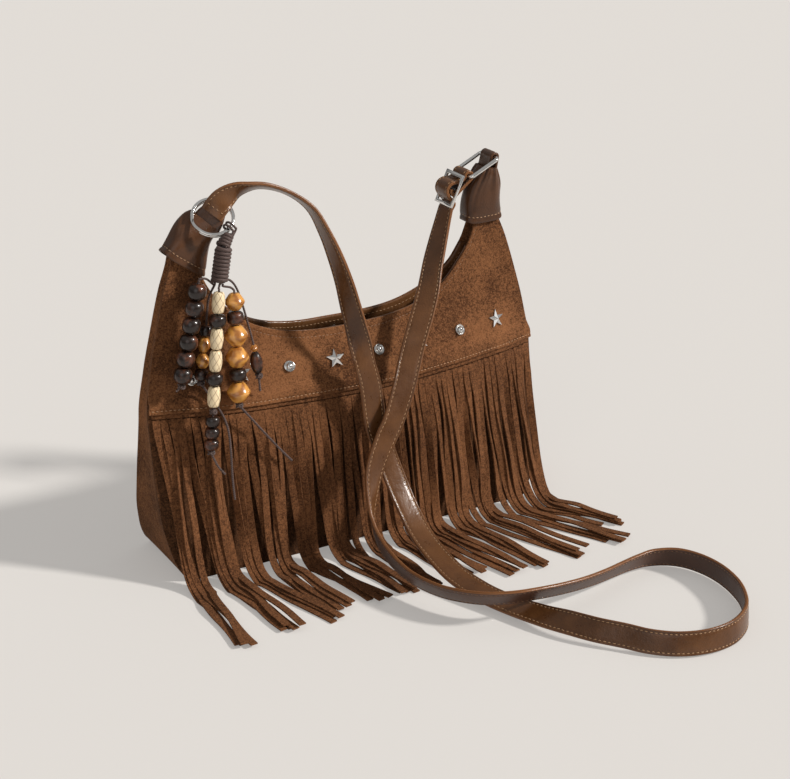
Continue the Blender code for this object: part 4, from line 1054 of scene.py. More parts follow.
# %% Lay the walls
OVERLAP, RAMP, FRINGE_SKIN = 6 * MM, 7 * MM, 1.2 * MM
NEAR_EDGE = [0, 0.25 * MM, 0.7 * MM, 1.2 * MM, 1.7 * MM, 2.1 * MM, 2.5 * MM, 2.9 * MM, 3.4 * MM, 4.2 * MM,
             5.2 * MM, 6.5 * MM, 8 * MM]
HEM_STITCH, SEAM_STITCH = 4.2 * MM, 2.5 * MM


def channel(distance, at, deep=0.35 * MM, wide=0.8 * MM):
    return -deep * np.exp(-((distance - at) / wide) ** 2)


def rounded(distance, thick):
    """How far an edge falls back where its corner is rounded."""
    return -thick * 0.3 * np.exp(-distance / (0.35 * MM))


def wall(name, side, bottom, top, out_of, thick, material, stitched_low, stitched_high, us=ACROSS_WALL,
         step=2.2 * MM):
    """A sheet between two curves on the shell. out_of gives its inner face's distance outwards."""
    outer, inner = [], []
    flat = [spread(float(bottom(u)), float(top(u)), NEAR_EDGE, step) for u in us]
    rows = max(len(z) for z in flat)
    for u, z in zip(us, flat):
        z = np.interp(np.linspace(0, 1, rows), np.linspace(0, 1, len(z)), z)
        up, down = z - z[0], z[-1] - z
        press = channel(up, stitched_low) if stitched_low else 0
        press = press + (channel(down, stitched_high) if stitched_high else 0)
        corner = rounded(up, thick) + rounded(down, thick)
        out = out_of(z - seam_height(u))
        outer.append(on_shell(side, u, z, out + thick + press + corner))
        inner.append(on_shell(side, u, z, out - corner))
    outer, inner = np.array(outer).transpose(1, 0, 2), np.array(inner).transpose(1, 0, 2)
    return wall_grid(name, outer, inner, material)


def yoke_out(rise):
    over_header = FRINGE_SKIN + 2 * GAP
    ramp = np.clip((rise - OVERLAP) / RAMP, 0, 1)
    return over_header + (-SUEDE_THICK - over_header) * ramp * ramp * (3 - 2 * ramp)


yoke = wall("front_yoke_suede", -1, seam_height, top_height, yoke_out, SUEDE_THICK, SUEDE,
            SEAM_STITCH, HEM_STITCH)
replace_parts(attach(yoke, "root"), "front_yoke")
back = wall("back_panel_suede", 1, lambda u: 0.0, lambda u: top_height(u, BACK_EXTRA),
            lambda rise: 0 * rise - SUEDE_THICK, SUEDE_THICK, SUEDE, None, HEM_STITCH, step=3 * MM)
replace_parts(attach(back, "root"), "back_panel")
# The front panel hangs behind the fringe, so its suede has painted shade in its colour.
front = wall("front_panel_suede", -1, lambda u: 0.0, lambda u: seam_height(u) + OVERLAP - GAP,
             lambda rise: 0 * rise - SUEDE_THICK, SUEDE_THICK, SUEDE_IN_PAINTED_SHADE, None, None, step=3 * MM)
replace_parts(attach(front, "root"), "front_panel")
for side, extra, node in ((-1, 0.0, "facing_front"), (1, BACK_EXTRA, "facing_back")):
    facing = wall(node + "_leather", side, lambda u: top_height(u, extra) - 22 * MM,
                  lambda u: top_height(u, extra) - 0.2 * MM,
                  lambda rise: 0 * rise - SUEDE_THICK - GAP - LEATHER_THICK, LEATHER_THICK, FACING_LEATHER,
                  None, None, us=np.linspace(-0.745, 0.745, 121))
    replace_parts(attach(facing, "root"), node)
for sheet, size in ((yoke, (0.30, 0.11)), (back, (0.31, 0.24)), (front, (0.30, 0.14))):
    0.75 * size[0] * size[1]
print("walls laid")

# %% [markdown]
# ## The gusset and the lining
# The gusset is the band round both ends and the bottom. It ends a hair inside the walls, where
# they are sewn together, so that no light comes through the seam. The lining is a pouch of thin
# cloth that hangs inside with a little slack, so its sides are puckered by a few slow waves.

# %% Bend the gusset and hang the lining
ends_z = np.linspace(NECK_HEIGHT, 0.004, 90)
left_line = np.stack([lean(ends_z) - half_width(ends_z), ends_z], -1)
right_line = np.stack([lean(ends_z) + half_width(ends_z), ends_z], -1)[::-1]
base_x = np.linspace(-float(half_width(0)) + 0.001, float(half_width(0)) - 0.001, 90)
base_line = np.stack([base_x, np.zeros_like(base_x)], -1)
gusset_line = np.concatenate([left_line, base_line, right_line])
ahead = directions(gusset_line)
inward = np.stack([-ahead[:, 1], ahead[:, 0]], -1)
widths = np.linspace(-1, 1, 25)
SEWN_CLOSE, GUSSET_SAG = 0.1 * MM, 0.0012


def gusset_layer(deep_in):
    line = gusset_line + inward * deep_in
    half = edge_depth(line[:, 1]) - SUEDE_THICK - SEWN_CLOSE
    sag = GUSSET_SAG * (1 - widths ** 2)[None] * np.clip(line[:, 1:] / 0.02, 0, 1)
    x = line[:, :1] + inward[:, :1] * sag
    z = np.maximum(line[:, 1:] + inward[:, 1:] * sag, 0.0)
    return np.stack([x, half[:, None] * widths[None], z], -1)


gusset = wall_grid("gusset_suede", gusset_layer(0.0), gusset_layer(SUEDE_THICK), SUEDE)
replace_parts(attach(gusset, "root"), "gusset")

LINING_SHARE, LINING_THICK, LINING_FREE = 0.93, 0.8 * MM, 3 * MM
lining_front = np.linspace(-LINING_SHARE, LINING_SHARE, 61)
lining_u = np.concatenate([lining_front, -lining_front])
lining_side = np.repeat([-1.0, 1.0], len(lining_front))


def lining_layer(deeper):
    rings = []
    for part in np.linspace(0, 1, 40):
        low = SUEDE_THICK + 1.5 * MM + deeper
        top = np.minimum(top_height(lining_u), 0.190) - 27 * MM
        z = low + (top - low) * part
        slack = 0.8 * MM * np.sin(lining_u * 26 + part * 3) * math.sin(math.pi * part)
        x = lining_u * half_width(z) * (1 - 1.5 * deeper / HALF_WIDTH) * (0.985 if part == 0 else 1)
        y = lining_side * (depth(x, z) + dents(x, z) - SUEDE_THICK - LINING_FREE - deeper - slack)
        rings.append(np.stack([x + lean(z), y, z], -1))
    return np.array(rings)


pouch = np.concatenate([lining_layer(0.0), lining_layer(LINING_THICK)[::-1]])
lining = tube_grid("lining_pouch", pouch, LINING_CLOTH)
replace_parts(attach(lining, "root"), "lining")


# %% Polish the snap
def polish(mesh, angle):
    """Steel on a mesh that comes from a solid."""
    mesh.materials.clear()
    mesh.materials.append(STEEL)
    ease(mesh, angle)


for node in ("snap_front", "snap_back"):
    solid = frame["nodes"][node]
    polish(solid.data, 30)
print("gusset, lining and snap made")

# %% [markdown]
# ## The fringe
# This is the piece that makes the bag. One band of suede is sewn under the yoke and cut into 60
# narrow strips, which hang down the front, meet the floor and run out over it. Neighbours gather
# into clumps whose tips stay together, and the strips of a clump lie in layers. So each strip
# first draws its habits: how much it gathers, sways, reaches out, fans and curls.

# %% Draw the strips' habits
CLUMPS = (4, 5, 3, 5, 4, 6, 4, 5, 5, 4, 5, 4, 6)
STRIPS, STRIP_WIDTH, STRIP_THICK, HEADER_DEPTH = sum(CLUMPS), 4.9 * MM, 0.95 * MM, 4 * MM
FRINGE_SHARE, SEAM_HALF = 0.985, float(half_width(SEAM_HEIGHT))
FLOOR_LIFT, LAYER = 0.75 * MM, 1.05 * MM
# How far out and to the right the strips run on the floor, from end to end of the bag, in mm.
RUN_AT = (-1, -0.8, -0.4, 0, 0.5, 0.75, 1)
RUN_OUTS = (104, 92, 82, 88, 100, 90, 60)
RUN_ASIDES = (-6, 12, 18, 19, 29, 40, 56)


def clump_of(index):
    """The middle strip of the clump that a strip gathers into, and its turn in it."""
    start = 0
    for size in CLUMPS:
        if index < start + size:
            return start + (size - 1) / 2, index - start
        start += size


def strip_habits(index, chance):
    middle, turn = clump_of(index)
    own = SimpleNamespace()
    pitch = 2 * FRINGE_SHARE / STRIPS
    u, clump_u = (-FRINGE_SHARE + pitch * (k + 0.5) for k in (index, middle))
    own.root, own.clump_root = u * SEAM_HALF, clump_u * SEAM_HALF
    own.gather = chance.uniform(0.1, 0.6)
    together = random.Random(int(2 * middle)).uniform(-1, 1)
    own.sway, own.swing = chance.uniform(-2.2, 2.2) * MM, chance.uniform(0, FULL_TURN)
    longer = 1 + chance.uniform(-0.06, 0.05)
    own.out_to = (np.interp(clump_u, RUN_AT, RUN_OUTS) + 4 * together) * MM * longer
    own.aside = (np.interp(clump_u, RUN_AT, RUN_ASIDES) + 7 * together) * MM
    own.fan = chance.uniform(-1, 1) * 6 * MM - (own.root - own.clump_root) * 0.3
    own.curl = chance.uniform(-1, 1)
    own.top = float(seam_height(u)) - HEADER_DEPTH + 1.5 * MM
    own.level = 1 + (turn % 4) + (index % 2) * 0.35
    own.lift = FLOOR_LIFT + (turn % 5) * LAYER
    return own


print("strips:", STRIPS, "in", len(CLUMPS), "clumps")

# %% [markdown]
# A strip's line has two parts. The first falls over the bulging panel and turns outwards near
# the floor, with its places closer together in the turn. The second runs out over the floor,
# raised by the layer that the strip lies in, with a bend and a few low humps of its own.

# %% Let the strips fall and run out
DROP_ROWS, TURN_ROWS, RUN_ROWS = 26, 19, 25
TURN_HEIGHT, SHORTEST_RUN = 34 * MM, 0.03
# Distance out from the panel at heights from the floor to the header, in mm.
FALL_HEIGHTS = (0, 2, 6, 14, 34, 58, 84, 112)
FALL_OUTS = (27, 17, 11, 7.5, 4, 2, 1, 0)


def evened(values, count):
    """A running mean over count values, with the ends held."""
    padded = np.pad(values, count // 2, mode="edge")
    return np.convolve(padded, np.ones(count) / count, mode="valid")


def strip_fall(own):
    """The places from the header to the floor, and the panel's slope across each."""
    turning = TURN_HEIGHT * (1 - np.linspace(0, 1, TURN_ROWS + 1)[1:]) ** 1.6
    heights = np.concatenate([np.linspace(own.top, TURN_HEIGHT, DROP_ROWS), turning])
    outs = evened(np.interp(heights / MM, FALL_HEIGHTS, FALL_OUTS), 7) * MM
    done = (own.top - heights) / own.top
    over = np.clip(done * 5, 0, 1)
    x = own.root + (own.clump_root - own.root) * own.gather * done ** 1.3
    x = x + own.aside * 0.1 * done ** 2 + own.sway * np.sin(done * 4.2 + own.swing) * over
    x = np.clip(x, -FRINGE_SHARE * SEAM_HALF, FRINGE_SHARE * SEAM_HALF)
    half = half_width(heights)
    on_panel = np.clip(x, -FRINGE_SHARE * half, FRINGE_SHARE * half)
    z = np.maximum(heights, own.lift)
    y = -(depth(on_panel, z) + dents(on_panel, z) + GAP
          + FRINGE_SKIN * (0.5 + 0.8 * own.level * over) + outs)
    slope = -2 * on_panel / half ** 2 * (depth(0 * heights, heights) - edge_depth(heights))
    return np.stack([x + lean(SEAM_HEIGHT), y, z], -1), slope, outs[-1]


def strip_run(own, start, out):
    """The places over the floor, from where the fall ends."""
    run = np.linspace(0, 1, RUN_ROWS + 1)[1:]
    reach = max(SHORTEST_RUN, own.out_to - out)
    bend = own.curl * 7 * MM * run ** 2 + 0.9 * MM * np.sin(run * 7 + own.swing)
    x = start[0] + (own.aside * 0.75 + own.fan) * run + bend * (1 - 0.3 * run)
    y = start[1] - reach * run
    hump = MM * np.sin(run * 9 + own.swing * 2).clip(0) * (1 - run)
    return np.stack([x, y, own.lift + hump], -1)


print("places on a strip:", DROP_ROWS + TURN_ROWS + RUN_ROWS)

# %% [markdown]
# A strip is flat, so it also needs the way its face looks at each place: away from the panel
# where it hangs, and up where it lies. Clear of the floor it may twist. A hanging strip curls a
# little across, which makes it look narrower.

# %% Turn the strips' faces
TURN_FROM, TURN_OVER = 38, 10


def strip_face(own, line, slope, chance):
    along = directions(line)
    level_way = unit(np.stack([-along[:, 1], along[:, 0], 0 * along[:, 0]], -1))
    hanging = unit(np.stack([np.ones_like(slope), -slope, 0 * slope], -1))
    across = np.concatenate([hanging, level_way[len(slope):]])
    settled = np.clip((np.arange(len(line)) - TURN_FROM) / TURN_OVER, 0, 1)[:, None]
    across = unit(across * (1 - settled) + level_way * settled)
    across = unit(across - along * (across * along).sum(-1, keepdims=True))
    part = running(line) / running(line)[-1]
    begun = np.clip(part * 6, 0, 1)
    twist = chance.uniform(-1, 1) * np.sin(math.pi * np.clip(part / 0.6, 0, 1)) ** 2
    twist = twist + chance.uniform(-0.35, 0.35) * np.sin(part * 9 + own.swing) * begun
    clear = np.clip((line[:, 2] - 4 * MM) / (20 * MM), 0, 1)
    twist = (twist * clear)[:, None]
    face = np.cross(along, across) * np.cos(twist) + across * np.sin(twist)
    curled = begun * np.clip((0.75 - part) / 0.2, 0, 1)
    wide = 1 + 0.06 * np.sin(part * 13 + own.swing) - 0.17 * curled
    wide[-1] *= chance.uniform(0.8, 1.0)
    return face, wide


def strip_line(index, chance):
    """One strip: places, the way its face looks, and its share of the width at each place."""
    own = strip_habits(index, chance)
    fall, slope, out = strip_fall(own)
    line = np.concatenate([fall, strip_run(own, fall[-1], out)])
    line[:, 2] = np.maximum(evened(line[:, 2], 5), own.lift)
    return line, *strip_face(own, line, slope, chance)


chance = random.Random(23)
strip_lines = [strip_line(k, chance) for k in range(STRIPS)]
strip_lengths = [running(line)[-1] for line, _, _ in strip_lines]
print("longest strip is", round(max(strip_lengths), 3), "m")
print("fringe reaches", round(min(line[:, 1].min() for line, _, _ in strip_lines), 3), "m in front")


# %% Grow the fringe and its header
def strip_tree():
    shape = Shape("fringe_strips", {"Width": "Float", "Thickness": "Float", "Material": "Material"})
    curve = shape.add("GeometryNodeMeshToCurve", None, {"Mesh": shape.given("Geometry")})
    aimed = shape.add("GeometryNodeSetCurveNormal", {"mode": "FREE"},
                      {"Curve": curve, "Normal": shape.named("face")})
    sized = shape.add("GeometryNodeSetCurveRadius", None,
                      {"Curve": aimed, "Radius": shape.named("wide", "FLOAT")})
    section = shape.add("GeometryNodeCurvePrimitiveQuadrilateral", None,
                        {"Width": shape.given("Thickness"), "Height": shape.given("Width")})
    strips = shape.add("GeometryNodeCurveToMesh", None,
                       {"Curve": sized, "Profile Curve": section, "Fill Caps": True})
    return shape.finish(strips)


lines, faces, widths = zip(*strip_lines)
fringe = grown("fringe_strips", line_mesh("strip_lines", lines, face=faces, wide=widths), strip_tree(),
               angle=40, Width=STRIP_WIDTH, Thickness=STRIP_THICK, Material=FRINGE_SUEDE)
header = wall("fringe_header", -1, lambda u: seam_height(u) - HEADER_DEPTH + 0.5 * MM,
              lambda u: seam_height(u) + OVERLAP - 0.6 * MM, lambda rise: 0 * rise + GAP, FRINGE_SKIN,
              FRINGE_SUEDE, None, None, us=ACROSS_WALL * FRINGE_SHARE)
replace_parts(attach(fringe, "root"), "fringe")
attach(header, "root")
cut = (0.30, max(strip_lengths) + HEADER_DEPTH)
used = STRIP_WIDTH * sum(strip_lengths) + 0.30 * (HEADER_DEPTH + OVERLAP)
min(used, 0.99 * cut[0] * cut[1])
print("fringe is cut from", [round(v, 3) for v in cut], "m of suede")

# %% [markdown]
# ## The strap
# The strap is two layers of leather with painted edges. It arches over the mouth, falls down the
# front, loops on the floor and climbs back to the slider, so its line is the one hard thing
# about it: the same places as the solid's, joined smoothly. Each place also has the way the
# strap's face looks there, which in the arch differs from the solid's.

# %% The strap's line
STRAP_THICK = 2.6 * MM
# Places, and the way the outer face looks at each, from the left tab to the slider.
ROUTE = (
    ((-95.1, -7, 244.1), (-0.6, -0.7, 0.38)), ((-88.8, -8, 251.6), (-0.22, -0.96, 0.18)),
    ((-81, -8, 256), (0.12, -0.96, -0.27)), ((-71, -7.5, 258), (0.06, -0.64, -0.76)),
    ((-57, -7.5, 257.5), (-0.24, -0.34, -0.91)), ((-40.5, -10, 251), (-0.53, -0.14, -0.84)),
    ((-27.5, -15, 240), (-0.81, -0.07, -0.58)), ((-20.5, -21, 224), (-0.94, -0.11, -0.31)),
    ((-15.6, -26, 208), (-0.95, -0.25, -0.18)), ((-11.6, -30.5, 191), (-0.91, -0.39, -0.09)),
    ((-8.9, -34, 175), (-0.83, -0.56, -0.01)), ((-6, -38, 157), (-0.68, -0.73, 0.05)),
    ((-3.5, -42.5, 137), (0, -1, 0)), ((-0.5, -46, 119), (-0.05, -1, 0)),
    ((0.5, -50, 96), (-0.05, -1, 0)), ((3.9, -53.5, 79), (0, -0.99, 0.1)),
    ((8.2, -61, 59), (0, -0.97, 0.2)), ((11.5, -74, 39), (0, -0.9, 0.42)),
    ((13.4, -94, 22.5), (-0.1, -0.7, 0.7)), ((15.2, -128, 12.5), (-0.2, -0.3, 0.93)),
    ((20.5, -153, 8.5), (-0.24, -0.22, 0.94)), ((27.8, -174, 7), (-0.25, -0.25, 0.93)),
    ((37.5, -200, 8), (-0.35, -0.36, 0.87)), ((46.2, -220.8, 10), (-0.5, -0.55, 0.67)),
    ((55.6, -237, 10.2), (-0.55, -0.68, 0.48)), ((67.1, -251, 9.8), (-0.5, -0.78, 0.36)),
    ((76.2, -262.6, 9.2), (-0.45, -0.84, 0.3)), ((86.4, -271.6, 8.9), (-0.35, -0.89, 0.28)),
    ((95.6, -276.8, 8.8), (-0.25, -0.93, 0.26)), ((104.7, -280, 8.8), (-0.15, -0.95, 0.24)),
    ((115, -281.5, 8.8), (0, -0.97, 0.22)), ((126.5, -280.7, 8.8), (0.2, -0.95, 0.2)),
    ((137.5, -277, 8.8), (0.4, -0.9, 0.15)), ((149, -269.5, 8.8), (0.66, -0.75, 0.1)),
    ((158.5, -258.5, 8.8), (0.85, -0.5, 0.05)), ((168, -240, 8.8), (0.97, -0.2, 0.05)),
    ((172.5, -218, 8.8), (0.99, 0.1, 0.1)), ((170.5, -198, 8.9), (0.85, 0.5, 0.18)),
    ((162, -182.5, 9.1), (0.55, 0.78, 0.26)), ((146.5, -174.8, 9.4), (0.15, 0.92, 0.36)),
    ((130.5, -175.5, 10), (-0.1, 0.88, 0.46)), ((114, -180, 11.4), (-0.2, 0.84, 0.5)),
    ((95.6, -185.6, 13.2), (-0.2, 0.82, 0.54)), ((77, -190, 15.3), (-0.15, 0.8, 0.58)),
    ((58, -192.8, 17.6), (-0.05, 0.8, 0.6)), ((40.5, -193.6, 19.6), (0.05, 0.8, 0.6)),
    ((22, -190.5, 20.2), (0.25, 0.77, 0.59)), ((6.5, -179.5, 18.5), (0.52, 0.62, 0.57)),
    ((-5.6, -163, 17), (0.68, 0.45, 0.55)), ((-12.4, -148, 16.6), (0.79, 0.3, 0.51)),
    ((-16.6, -133.3, 17.2), (0.86, 0.15, 0.44)), ((-19, -119.9, 19.2), (0.89, 0.02, 0.34)),
    ((-20.2, -106, 22.5), (0.9, -0.12, 0.24)), ((-20.2, -94, 27), (0.88, -0.3, 0.12)),
    ((-19.4, -85, 33.5), (0.82, -0.5, 0)), ((-17, -76.5, 44), (0.66, -0.7, -0.1)),
    ((-9, -66.5, 66.5), (0.1, -0.98, -0.1)), ((3.2, -61, 86), (-0.2, -0.97, 0)),
    ((10.8, -58.5, 97), (-0.2, -0.97, 0)), ((23.3, -51, 118), (-0.4, -0.9, 0.02)),
    ((34.5, -41.5, 136), (-0.55, -0.83, 0.05)), ((41.6, -36.5, 147.8), (-0.58, -0.8, 0.1)),
    ((48.6, -31.5, 158), (-0.62, -0.77, 0.15)), ((58, -23.5, 171.8), (-0.7, -0.68, 0.2)),
    ((67.5, -13, 185), (-0.8, -0.5, 0.27)), ((75.5, -6, 198.3), (-0.87, -0.3, 0.33)),
    ((81.8, -1.5, 210.4), (-0.91, -0.1, 0.39)),
)
# Along the slider and out of it from its middle bar, in mm.
THROUGH_SLIDER = ((-13.5, -3), (-11, -3.5), (-8.6, -3.3), (-6.7, 0.2), (-4.5, 4.1), (-1.8, 6),
                  (1.8, 6), (4.4, 4), (6, 1), (7.3, -1.5))
WIRE, RING_LENGTH, RING_WIDTH, RING_CORNER = 2.8 * MM, 24 * MM, 21.5 * MM, 2.6 * MM
RING_CENTRE, RING_AXIS = np.array([110.2, 0, 247.6]) * MM, unit((0.898, 0, 0.44))
SLIDER_CENTRE, SLIDER_UP = np.array([88.5, 0, 233.5]) * MM, unit((0.42, 0, 0.908))
SLIDER_OUT = np.array([-SLIDER_UP[2], 0, SLIDER_UP[0]])
BAR_ROUND = math.hypot(2.4, 1.8) / 2 * MM


def turned_round(centre, radius, first, last, count):
    """Places round a bar that lies across the strap, between two angles."""
    angles = np.radians(np.linspace(first, last, count))[:, None]
    return list(centre + (SLIDER_UP * np.cos(angles) + SLIDER_OUT * np.sin(angles)) * radius)


def strap_frames(step):
    """Centres, sides and normals of the strap, first where it is free and then through the slider."""
    free = [np.array([*(np.array(p) * MM), *unit(n)]) for p, n in ROUTE]
    tail = [SLIDER_CENTRE + SLIDER_UP * a * MM + SLIDER_OUT * b * MM for a, b in THROUGH_SLIDER]
    ring_bar = RING_CENTRE - RING_AXIS * RING_LENGTH / 2
    clear = GAP + STRAP_THICK / 2
    tail += turned_round(ring_bar, WIRE / 2 + clear, 125, -125, 8)
    tail += turned_round(SLIDER_CENTRE, BAR_ROUND + clear, -100, -272, 7)
    free.append(np.array([*tail[0], *SLIDER_OUT]))
    rows = smooth_line(free, step)
    through = smooth_line(tail, 0.8 * MM)[1:]
    centres = np.concatenate([rows[:, :3], through])
    ahead = directions(through)
    beyond = np.stack([-ahead[:, 2], 0 * ahead[:, 0], ahead[:, 0]], -1)
    faces = np.concatenate([unit(rows[:, 3:]), beyond])
    ahead = directions(centres)
    normals = unit(faces - ahead * (faces * ahead).sum(-1, keepdims=True))
    return centres, np.cross(ahead, normals), normals


centres, sides, normals = strap_frames(2.5 * MM)
print("strap is", round(running(centres)[-1], 3), "m long")

# %% [markdown]
# The strap's section has a raised middle, a channel under each row of stitches and a groove along
# each edge where the two layers meet. It is drawn as one quarter and mirrored. The inner face has
# the lining's colour and the edges are painted, so each column of faces gets its own material.

# %% Sweep the strap
# Across the strap, and out of it, from the outer face's edge to its middle, in mm.
QUARTER = ((-8, 0.12), (-7.94, 0.62), (-7.7, 1.05), (-7.3, 1.26), (-6.8, 1.2), (-6.35, 1.02),
           (-6.0, 0.97), (-5.65, 1.02), (-5.1, 1.2), (-3.5, 1.3), (0, 1.36))
GROOVE, FLATTER = (7.72, 0.0), 1.3 / 1.36
PAINTED_FROM = 7.55 * MM
outer_face = list(QUARTER) + [(-a, b) for a, b in reversed(QUARTER[:-1])]
inner_face = [(-a, -b * (FLATTER if abs(a) < 4 else 1)) for a, b in outer_face]
section = np.array(outer_face + [GROOVE] + inner_face + [(-GROOVE[0], 0.0)]) * MM
grid = swept(centres, sides, normals, section)
strap = tube_grid("strap_leather", grid, [STRAP_LEATHER, EDGE_PAINT, STRAP_LINING], angle=60)
middles = (section + np.roll(section, -1, axis=0)) / 2
look = np.where(np.abs(middles[:, 0]) > PAINTED_FROM, 1, np.where(middles[:, 1] > 0, 0, 2))
kinds = np.ones(len(strap.data.polygons), np.int32)
kinds[: (len(centres) - 1) * len(section)] = np.tile(look, len(centres) - 1)
strap.data.polygons.foreach_set("material_index", kinds)
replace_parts(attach(strap, "root"), "strap")

# %% Stitch the strap
# Where the rows lie across the strap, and how far out of it the thread's middle is.
ROW_AT, ROW_OUT = (-6.0, 6.0), 1.02
sewn = slice(3, -4)
for name, way, thread, length, width in (("strap_stitches", 1, TAN_THREAD, 2.2, 0.62),
                                         ("strap_back_stitches", -1, BROWN_THREAD, 2.0, 0.55)):
    rows = [centres[sewn] + sides[sewn] * across * MM + normals[sewn] * (way * ROW_OUT) * MM
            for across in ROW_AT]
    stitches(name, rows, [normals[sewn] * way] * 2, thread, 3.1, length, width)
row = np.linspace(-5.2, 5.2, 9)[:, None] * MM
end_row = centres[2] + sides[2] * row + normals[2] * 1.34 * MM
stitches("strap_end_stitches", [end_row], [np.repeat(normals[2:3], 9, 0)], TAN_THREAD, 2.6, 1.9, 0.6)
print("strap stitched")

# %% [markdown]
# ## Stitches on the bag
# One row runs along the yoke's lower edge, in tan thread, and one along each side of the mouth, in
# brown outside and in tan on the facings. The outer rows sit in the channels pressed for them.

# %% Stitch the yoke and the mouth
us = np.linspace(-0.985, 0.985, 160)


def row_on_wall(side, u, z, out):
    here = on_shell(side, u, z, out)
    ahead = directions(here)
    up = unit(on_shell(side, u, z + 0.5 * MM, out) - here)
    return here, unit(np.cross(ahead, up)) * (1 if side < 0 else -1)


def mouth_rows(share, out):
    """The stitched row under the mouth's edge, in front and behind."""
    at = us * share
    rows = [row_on_wall(side, at, top_height(at, extra) - HEM_STITCH, out)
            for side, extra in ((-1, 0.0), (1, BACK_EXTRA))]
    return [here for here, _ in rows], [face for _, face in rows]


STITCH_SUNK = 0.25 * MM
seam_out = yoke_out(np.array(SEAM_STITCH)) + SUEDE_THICK - STITCH_SUNK
seam_line, seam_face = row_on_wall(-1, us, seam_height(us) + SEAM_STITCH, seam_out)
stitches("yoke_stitches", [seam_line], [seam_face], TAN_THREAD, 2.9, 1.9, 0.6)
rows, faces = mouth_rows(0.97, -STITCH_SUNK)
stitches("mouth_stitches", rows, faces, BROWN_THREAD, 2.9, 1.9, 0.55)
rows, faces = mouth_rows(0.73, -SUEDE_THICK - GAP - LEATHER_THICK + 0.1 * MM)
stitches("facing_stitches", rows, [-face for face in faces], TAN_THREAD, 3.0, 2.1, 0.6)
print("bag stitched")

# %% [markdown]
# ## The caps and the tabs
# A leather cap closes each end of the bag where its top narrows, and a tab comes out of it to hold
# the ring. A cap is a tapered sleeve: ovals of slowly changing size, one over the other. Its hem
# is thickened, stitched, and hangs a little lower in front and behind. Small gathers run down from
# where the sleeve is pulled in.

# %% Loft the caps
FACE_OUT = unit((-0.6, -0.7, 0.38))
CAP_COLUMNS, CAP_STITCH = 96, 3.6 * MM
# Each oval: its middle, the ways of its width and depth, and half of each, in mm.
LEFT_CAP = (
    ((-114.3, 0, 212.3), (0.81, 0, -0.58), (0, -1, 0), 17.3, 8.4),
    ((-110.0, 0, 221.4), (0.81, 0, -0.58), (0, -1, 0), 15.0, 8.2),
    ((-105.6, -0.6, 230.6), (0.78, -0.2, -0.59), (0, -1, 0), 13.4, 7.0),
    ((-101.8, -1.6, 236.2), (0.62, -0.5, -0.6), FACE_OUT, 12.4, 5.0),
    ((-98.4, -3.2, 239.6), ACROSS, FACE_OUT, 11.6, 3.4),
)
RIGHT_CAP = (
    ((114.4, 0, 209.0), (1, 0, 0.02), (0, -1, 0), 14.8, 8.2),
    ((114.4, 0, 219.0), (1, 0, 0), (0, -1, 0), 14.2, 8.4),
    ((115.0, 0, 229.0), (1, 0, -0.1), (0, -1, 0), 12.4, 9.2),
    ((116.4, 0, 236.0), (1, 0, -0.15), (0, -1, 0), 10.4, 9.8),
    ((117.4, 0, 241.5), (1, 0, -0.15), (0, -1, 0), 8.0, 10.0),
    ((118.6, 0, 246.0), (1, 0, -0.15), (0, -1, 0), 5.6, 8.4),
)


def hem_press(from_hem):
    """How far the leather stands out: a channel for the stitches, a rolled lip, a rounded corner."""
    groove = -0.4 * np.exp(-((from_hem - CAP_STITCH) / (0.9 * MM)) ** 2)
    lip = 0.25 * np.exp(-(from_hem / (1.6 * MM)) ** 2)
    corner = -0.35 * np.exp(-(from_hem / (0.4 * MM)) ** 2)
    return (groove + lip + corner) * MM


def cap_rings(sections, gathers, phase, thinner=0.0):
    """Rings of the sleeve, its outward directions, and each ring's distance from the hem."""
    rows = []
    for centre, width_way, depth_way, half_w, half_d in sections:
        width_way = unit(width_way)
        depth_way = np.array(depth_way, float)
        depth_way = unit(depth_way - width_way * depth_way.dot(width_way))
        rows.append(np.concatenate([np.array(centre) * MM, width_way, depth_way,
                                    [half_w * MM, half_d * MM]]))
    rows = smooth_line(rows, 0.9 * MM)
    angles = 2 * math.pi * np.arange(CAP_COLUMNS) / CAP_COLUMNS
    c, s = np.cos(angles), np.sin(angles)
    from_hem = running(rows[:, :3])
    part = (from_hem / from_hem[-1])[:, None]
    squarer = 0.5 + 0.35 * part
    a, b = np.sign(c) * np.abs(c) ** squarer, np.sign(s) * np.abs(s) ** squarer
    pulled = gathers * MM * part ** 2 * (np.sin(angles * 9 + phase + part * 1.5)
                                         + 0.6 * np.sin(angles * 17 + phase * 2))
    slack = 0.75 * MM * np.sin(angles * 3 + phase + part * 5) * np.sin(math.pi * part)
    grow = hem_press(from_hem)[:, None] + pulled + slack - thinner
    sag = 1.6 * MM * np.abs(s) ** 1.5 * np.clip(1 - part / 0.45, 0, 1)
    width_way, depth_way = unit(rows[:, 3:6])[:, None], unit(rows[:, 6:9])[:, None]
    half_w, half_d = rows[:, 9:10], rows[:, 10:11]
    out = unit(width_way * (c * half_d)[..., None] + depth_way * (s * half_w)[..., None])
    place = rows[:, None, :3] + width_way * (a * half_w)[..., None] + depth_way * (b * half_d)[..., None]
    upward = unit(rows[1, :3] - rows[0, :3])
    return place + out * grow[..., None] - upward * sag[..., None], out, from_hem


def cap(name, node, sections, gathers, phase):
    outside, out, from_hem = cap_rings(sections, gathers, phase)
    inside, _, _ = cap_rings(sections, gathers * 0.5, phase, LEATHER_THICK)
    made = tube_grid(name, np.concatenate([outside, inside[::-1]]), CAP_LEATHER, closed=True, angle=50)
    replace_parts(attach(made, "root"), node)
    row = int(np.argmin(np.abs(from_hem - CAP_STITCH)))
    loop = [*range(CAP_COLUMNS), 0]
    stitches(name + "_stitches", [outside[row][loop] + out[row][loop] * 0.12 * MM], [out[row][loop]],
             TAN_THREAD, 3.0, 2.1, 0.6)


